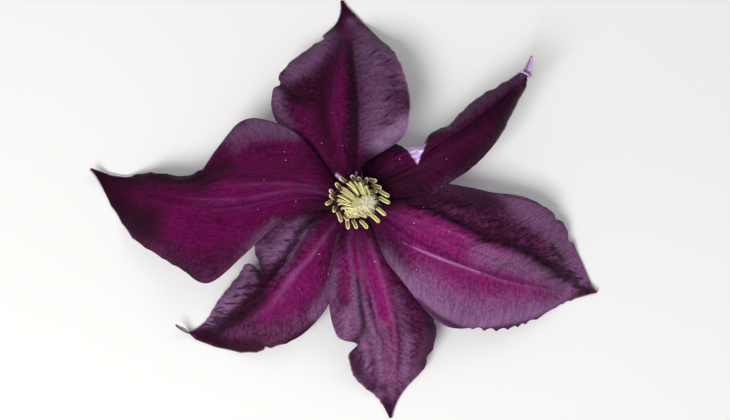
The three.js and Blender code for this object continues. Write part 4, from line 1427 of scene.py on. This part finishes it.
def make_stamens():
    draw = random.Random(21)
    pattern = stamen_pattern()
    made = [root_ring(), dark_heart()] + spread_stamens(pattern, draw) + curled_stamens(pattern, draw)
    bpy.data.objects.remove(pattern)
    boss = join(made, "boss_of_stamens")
    bpy.ops.object.shade_smooth()
    return finished(boss, "stamens", "stamens", anther_and_filament())


def style_pattern():
    rod = make_rod("style_pattern", 7, 12)
    unit = unit_points(rod)
    share = unit[:, 2]
    size = STYLE_RADIUS * (1 - 0.5 * smoothstep(share, 0.75, 1))
    set_mesh_points(rod, np.stack([unit[:, 0] * size, unit[:, 1] * size, share], axis=-1))
    store(rod, "part", share)
    return rod


def hair_pattern():
    rod = make_rod("hair_pattern", 3, 3)
    unit = unit_points(rod)
    size = 0.04 * (1 - 0.8 * unit[:, 2])
    set_mesh_points(rod, np.stack([unit[:, 0] * size, unit[:, 1] * size, unit[:, 2]], axis=-1))
    store(rod, "part", np.ones(len(unit)))
    return rod


def mat_height(x, y):
    """The low dome that the styles lie on."""
    return 22.75 - 0.1 * ((x - 0.9) ** 2 + (y + 1.1) ** 2)


STYLE_ROWS = 4
STYLES_IN_A_ROW = 24
STYLE_RADIUS = 0.17


def make_pistil():
    """The tuft of styles: they rise from the carpels and sweep to one side in a loose whorl, under silk."""
    draw = random.Random(8)
    style, hair = style_pattern(), hair_pattern()
    carpels = copy_of(style, "carpels")
    points = mesh_points(carpels)
    share = points[:, 2]
    fat = 1.35 * (1 - share) ** 0.4 / STYLE_RADIUS
    place = np.stack([points[:, 0] * fat, points[:, 1] * fat, 15.25 + 5.5 * share], axis=-1)
    set_mesh_points(carpels, place + AXIS)
    store(carpels, "part", np.zeros(len(points)))
    made = [carpels]
    for i in range(STYLE_ROWS * STYLES_IN_A_ROW):
        row = i // STYLES_IN_A_ROW
        start_x = -0.6 + 3.4 * (i % STYLES_IN_A_ROW + draw.random()) / STYLES_IN_A_ROW
        start_y = -0.3 - 0.6 * row + draw.uniform(-0.3, 0.3)
        heading = math.radians(-100 + 26 * (start_x + 0.6) + draw.gauss(0, 14))
        length = draw.uniform(1.3, 2.6)
        swirl = math.radians(draw.uniform(0, 50))
        spots = [[0.35 * start_x, 0.35 * start_y, 18.2], [0.8 * start_x, 0.8 * start_y, 21.2]]
        x, y = start_x, start_y
        spots.append([x, y, mat_height(x, y) - 0.5])
        for k in range(3):
            bearing = heading + swirl * k / 2
            x += length / 3 * math.cos(bearing)
            y += length / 3 * math.sin(bearing)
            spots.append([x, y, mat_height(x, y) + draw.uniform(-0.25, 0.3)])
        strand = copy_of(style, "style")
        share = mesh_points(strand)[:, 2]
        lay_rod(strand, spots, [0.3, 0.2, 1])
        paleness = 0.25 + 0.75 * float(smoothstep(start_x + 0.4 * draw.gauss(0, 1), 0.2, 1.6))
        store(strand, "part", smoothstep(share, 0.4, 0.7) * paleness)
        made.append(strand)
        spine, ways = curve_through(spots[2:], np.linspace(0.1, 1, 6))
        silky = start_x > 0.9 or row == STYLE_ROWS - 1
        for point, ahead in zip(spine, ways):
            for _ in range(2 if silky else 0):
                drift = np.array([draw.gauss(0, 0.5), draw.gauss(0, 0.5), draw.gauss(0.3, 0.35)])
                tip = point + (ahead + drift) * draw.uniform(0.6, 1.2)
                silk = copy_of(hair, "silk")
                lay_rod(silk, [point, (point + tip) / 2 + [0, 0, 0.12], tip], [0, 0, 1])
                made.append(silk)
    bpy.data.objects.remove(style)
    bpy.data.objects.remove(hair)
    tuft = join(made, "tuft_of_styles")
    bpy.ops.object.shade_smooth()
    return finished(tuft, "pistil", "styles", silky_style())


# ------------------------------------------------------------------ receptacle and stalk

STALK_RADIUS = 1.0
STALK_LOW = 1.08
STALK_ROUTE = [
    [0, 0, 11.8],
    [0.1, 0.1, 9],
    [1, 0.9, 5.6],
    [3.6, 3.8, 2.6],
    [8, 8.2, STALK_LOW + 0.1],
    [15, 14.6, STALK_LOW],
    [26, 24, STALK_LOW],
    [38, 32.6, STALK_LOW],
]
RIDGES = 6
STALK_HAIRS = 260
RECEPTACLE_RIBS = 12


def make_stalk():
    draw = random.Random(4)
    rod = make_rod("ribbed_stalk", 60, 90)
    unit = unit_points(rod)
    angle, inner = round_about(unit)
    ridge = 0.5 + 0.5 * np.cos(RIDGES * angle + 0.6 * np.sin(5 * unit[:, 2]))
    radius = STALK_RADIUS * (0.84 + 0.16 * ridge**0.8) * inner
    radius *= 1 + 0.25 * (1 - smoothstep(unit[:, 2], 0, 0.12)) - 0.04 * np.sin(9 * unit[:, 2])
    set_mesh_points(rod, np.stack([radius * np.cos(angle), radius * np.sin(angle), unit[:, 2]], axis=-1))
    store(rod, "ridge", ridge)
    lay_rod(rod, STALK_ROUTE, [0.7, -0.7, 0.05])
    head = make_rod("receptacle", 60, 24)
    unit = unit_points(head)
    share = unit[:, 2]
    angle, inner = round_about(unit)
    profile = np.interp(share, [0, 0.15, 0.35, 0.6, 0.9, 1], [1.2, 2.2, 3.1, 3.3, 3.15, 2.7])
    profile = profile * (1 + 0.03 * np.cos(RECEPTACLE_RIBS * angle))
    place = [profile * inner * np.cos(angle), profile * inner * np.sin(angle), 10.4 + 4.5 * share]
    set_mesh_points(head, np.stack(place, axis=-1) + AXIS)
    store(head, "ridge", 0.3 + 0.3 * np.cos(RECEPTACLE_RIBS * angle))
    hair = hair_pattern()
    made = [rod, head]
    shares = np.linspace(0.06, 0.97, STALK_HAIRS)
    spine, ways = curve_through(STALK_ROUTE, shares)
    for point, ahead in zip(spine, ways):
        around = draw.uniform(0, 2 * math.pi)
        side = np.cross(ahead, [0.3, -0.2, 0.93])
        side /= np.linalg.norm(side)
        deep = np.cross(ahead, side)
        off = side * math.cos(around) + deep * math.sin(around)
        foot = point + off * STALK_RADIUS * 0.82
        tip = point + off * (STALK_RADIUS + draw.uniform(0.25, 0.55)) + ahead * draw.uniform(-0.2, 0.3)
        if tip[2] < 0.08:
            continue
        fuzz = copy_of(hair, "fuzz")
        lay_rod(fuzz, [foot, (foot + tip) / 2, tip], ahead)
        store(fuzz, "ridge", np.zeros(len(fuzz.data.vertices)))
        made.append(fuzz)
    bpy.data.objects.remove(hair)
    stalk = join(made, "stalk_and_receptacle")
    bpy.ops.object.shade_smooth()
    return finished(stalk, "stalk", "stalk", ribbed_stalk())


# ------------------------------------------------------------------ stage, light and camera


def make_stage():
    bpy.ops.mesh.primitive_plane_add(size=4, location=(0, 0, -0.00005))
    floor = bpy.context.active_object
    floor.name = "table_top"
    floor.data.materials.append(pale_table())


def make_light():
    world = bpy.data.worlds.new("soft studio")
    world.use_nodes = True
    background = world.node_tree.nodes["Background"]
    background.inputs["Color"].default_value = (0.95, 0.97, 1, 1)
    background.inputs["Strength"].default_value = 0.5
    bpy.context.scene.world = world
    for name, place, size, power in (
        ("key panel", (-0.35, -0.55, 0.7), 0.45, 9.0),
        ("fill panel", (0.5, 0.5, 0.7), 0.6, 1.2),
    ):
        bpy.ops.object.light_add(type="AREA", location=place)
        lamp = bpy.context.active_object
        lamp.name = name
        lamp.data.size = size
        lamp.data.energy = power
        lamp.rotation_mode = "QUATERNION"
        lamp.rotation_quaternion = (Vector((0, 0, 0.01)) - Vector(place)).to_track_quat("-Z", "Y")


CAMERA_ELEVATION = 78
CAMERA_REACH = 300
AIM_FROM_AXIS = (2.16, -1.66, 13)


def make_camera():
    elevation = math.radians(CAMERA_ELEVATION)
    reach = CAMERA_REACH * MM
    aim = Vector(AXIS * MM) + Vector(AIM_FROM_AXIS) * MM
    back = Vector((0, -math.cos(elevation), math.sin(elevation)))
    bpy.ops.object.camera_add(location=aim + back * reach)
    camera = bpy.context.active_object
    camera.rotation_mode = "QUATERNION"
    camera.rotation_quaternion = (-back).to_track_quat("-Z", "Y")
    camera.data.sensor_width = 36
    camera.data.lens = 54.8
    camera.data.clip_start = 0.01
    camera.data.clip_end = 20
    bpy.context.scene.camera = camera


# ------------------------------------------------------------------ assembly

VELVET, SILK = velvet_face(), silky_back()
for drawn in TEPALS:
    make_tepal(drawn, VELVET, SILK)
make_stamens()
make_pistil()
make_stalk()
make_stage()
make_light()
make_camera()
bpy.context.scene.view_settings.view_transform = "Standard"
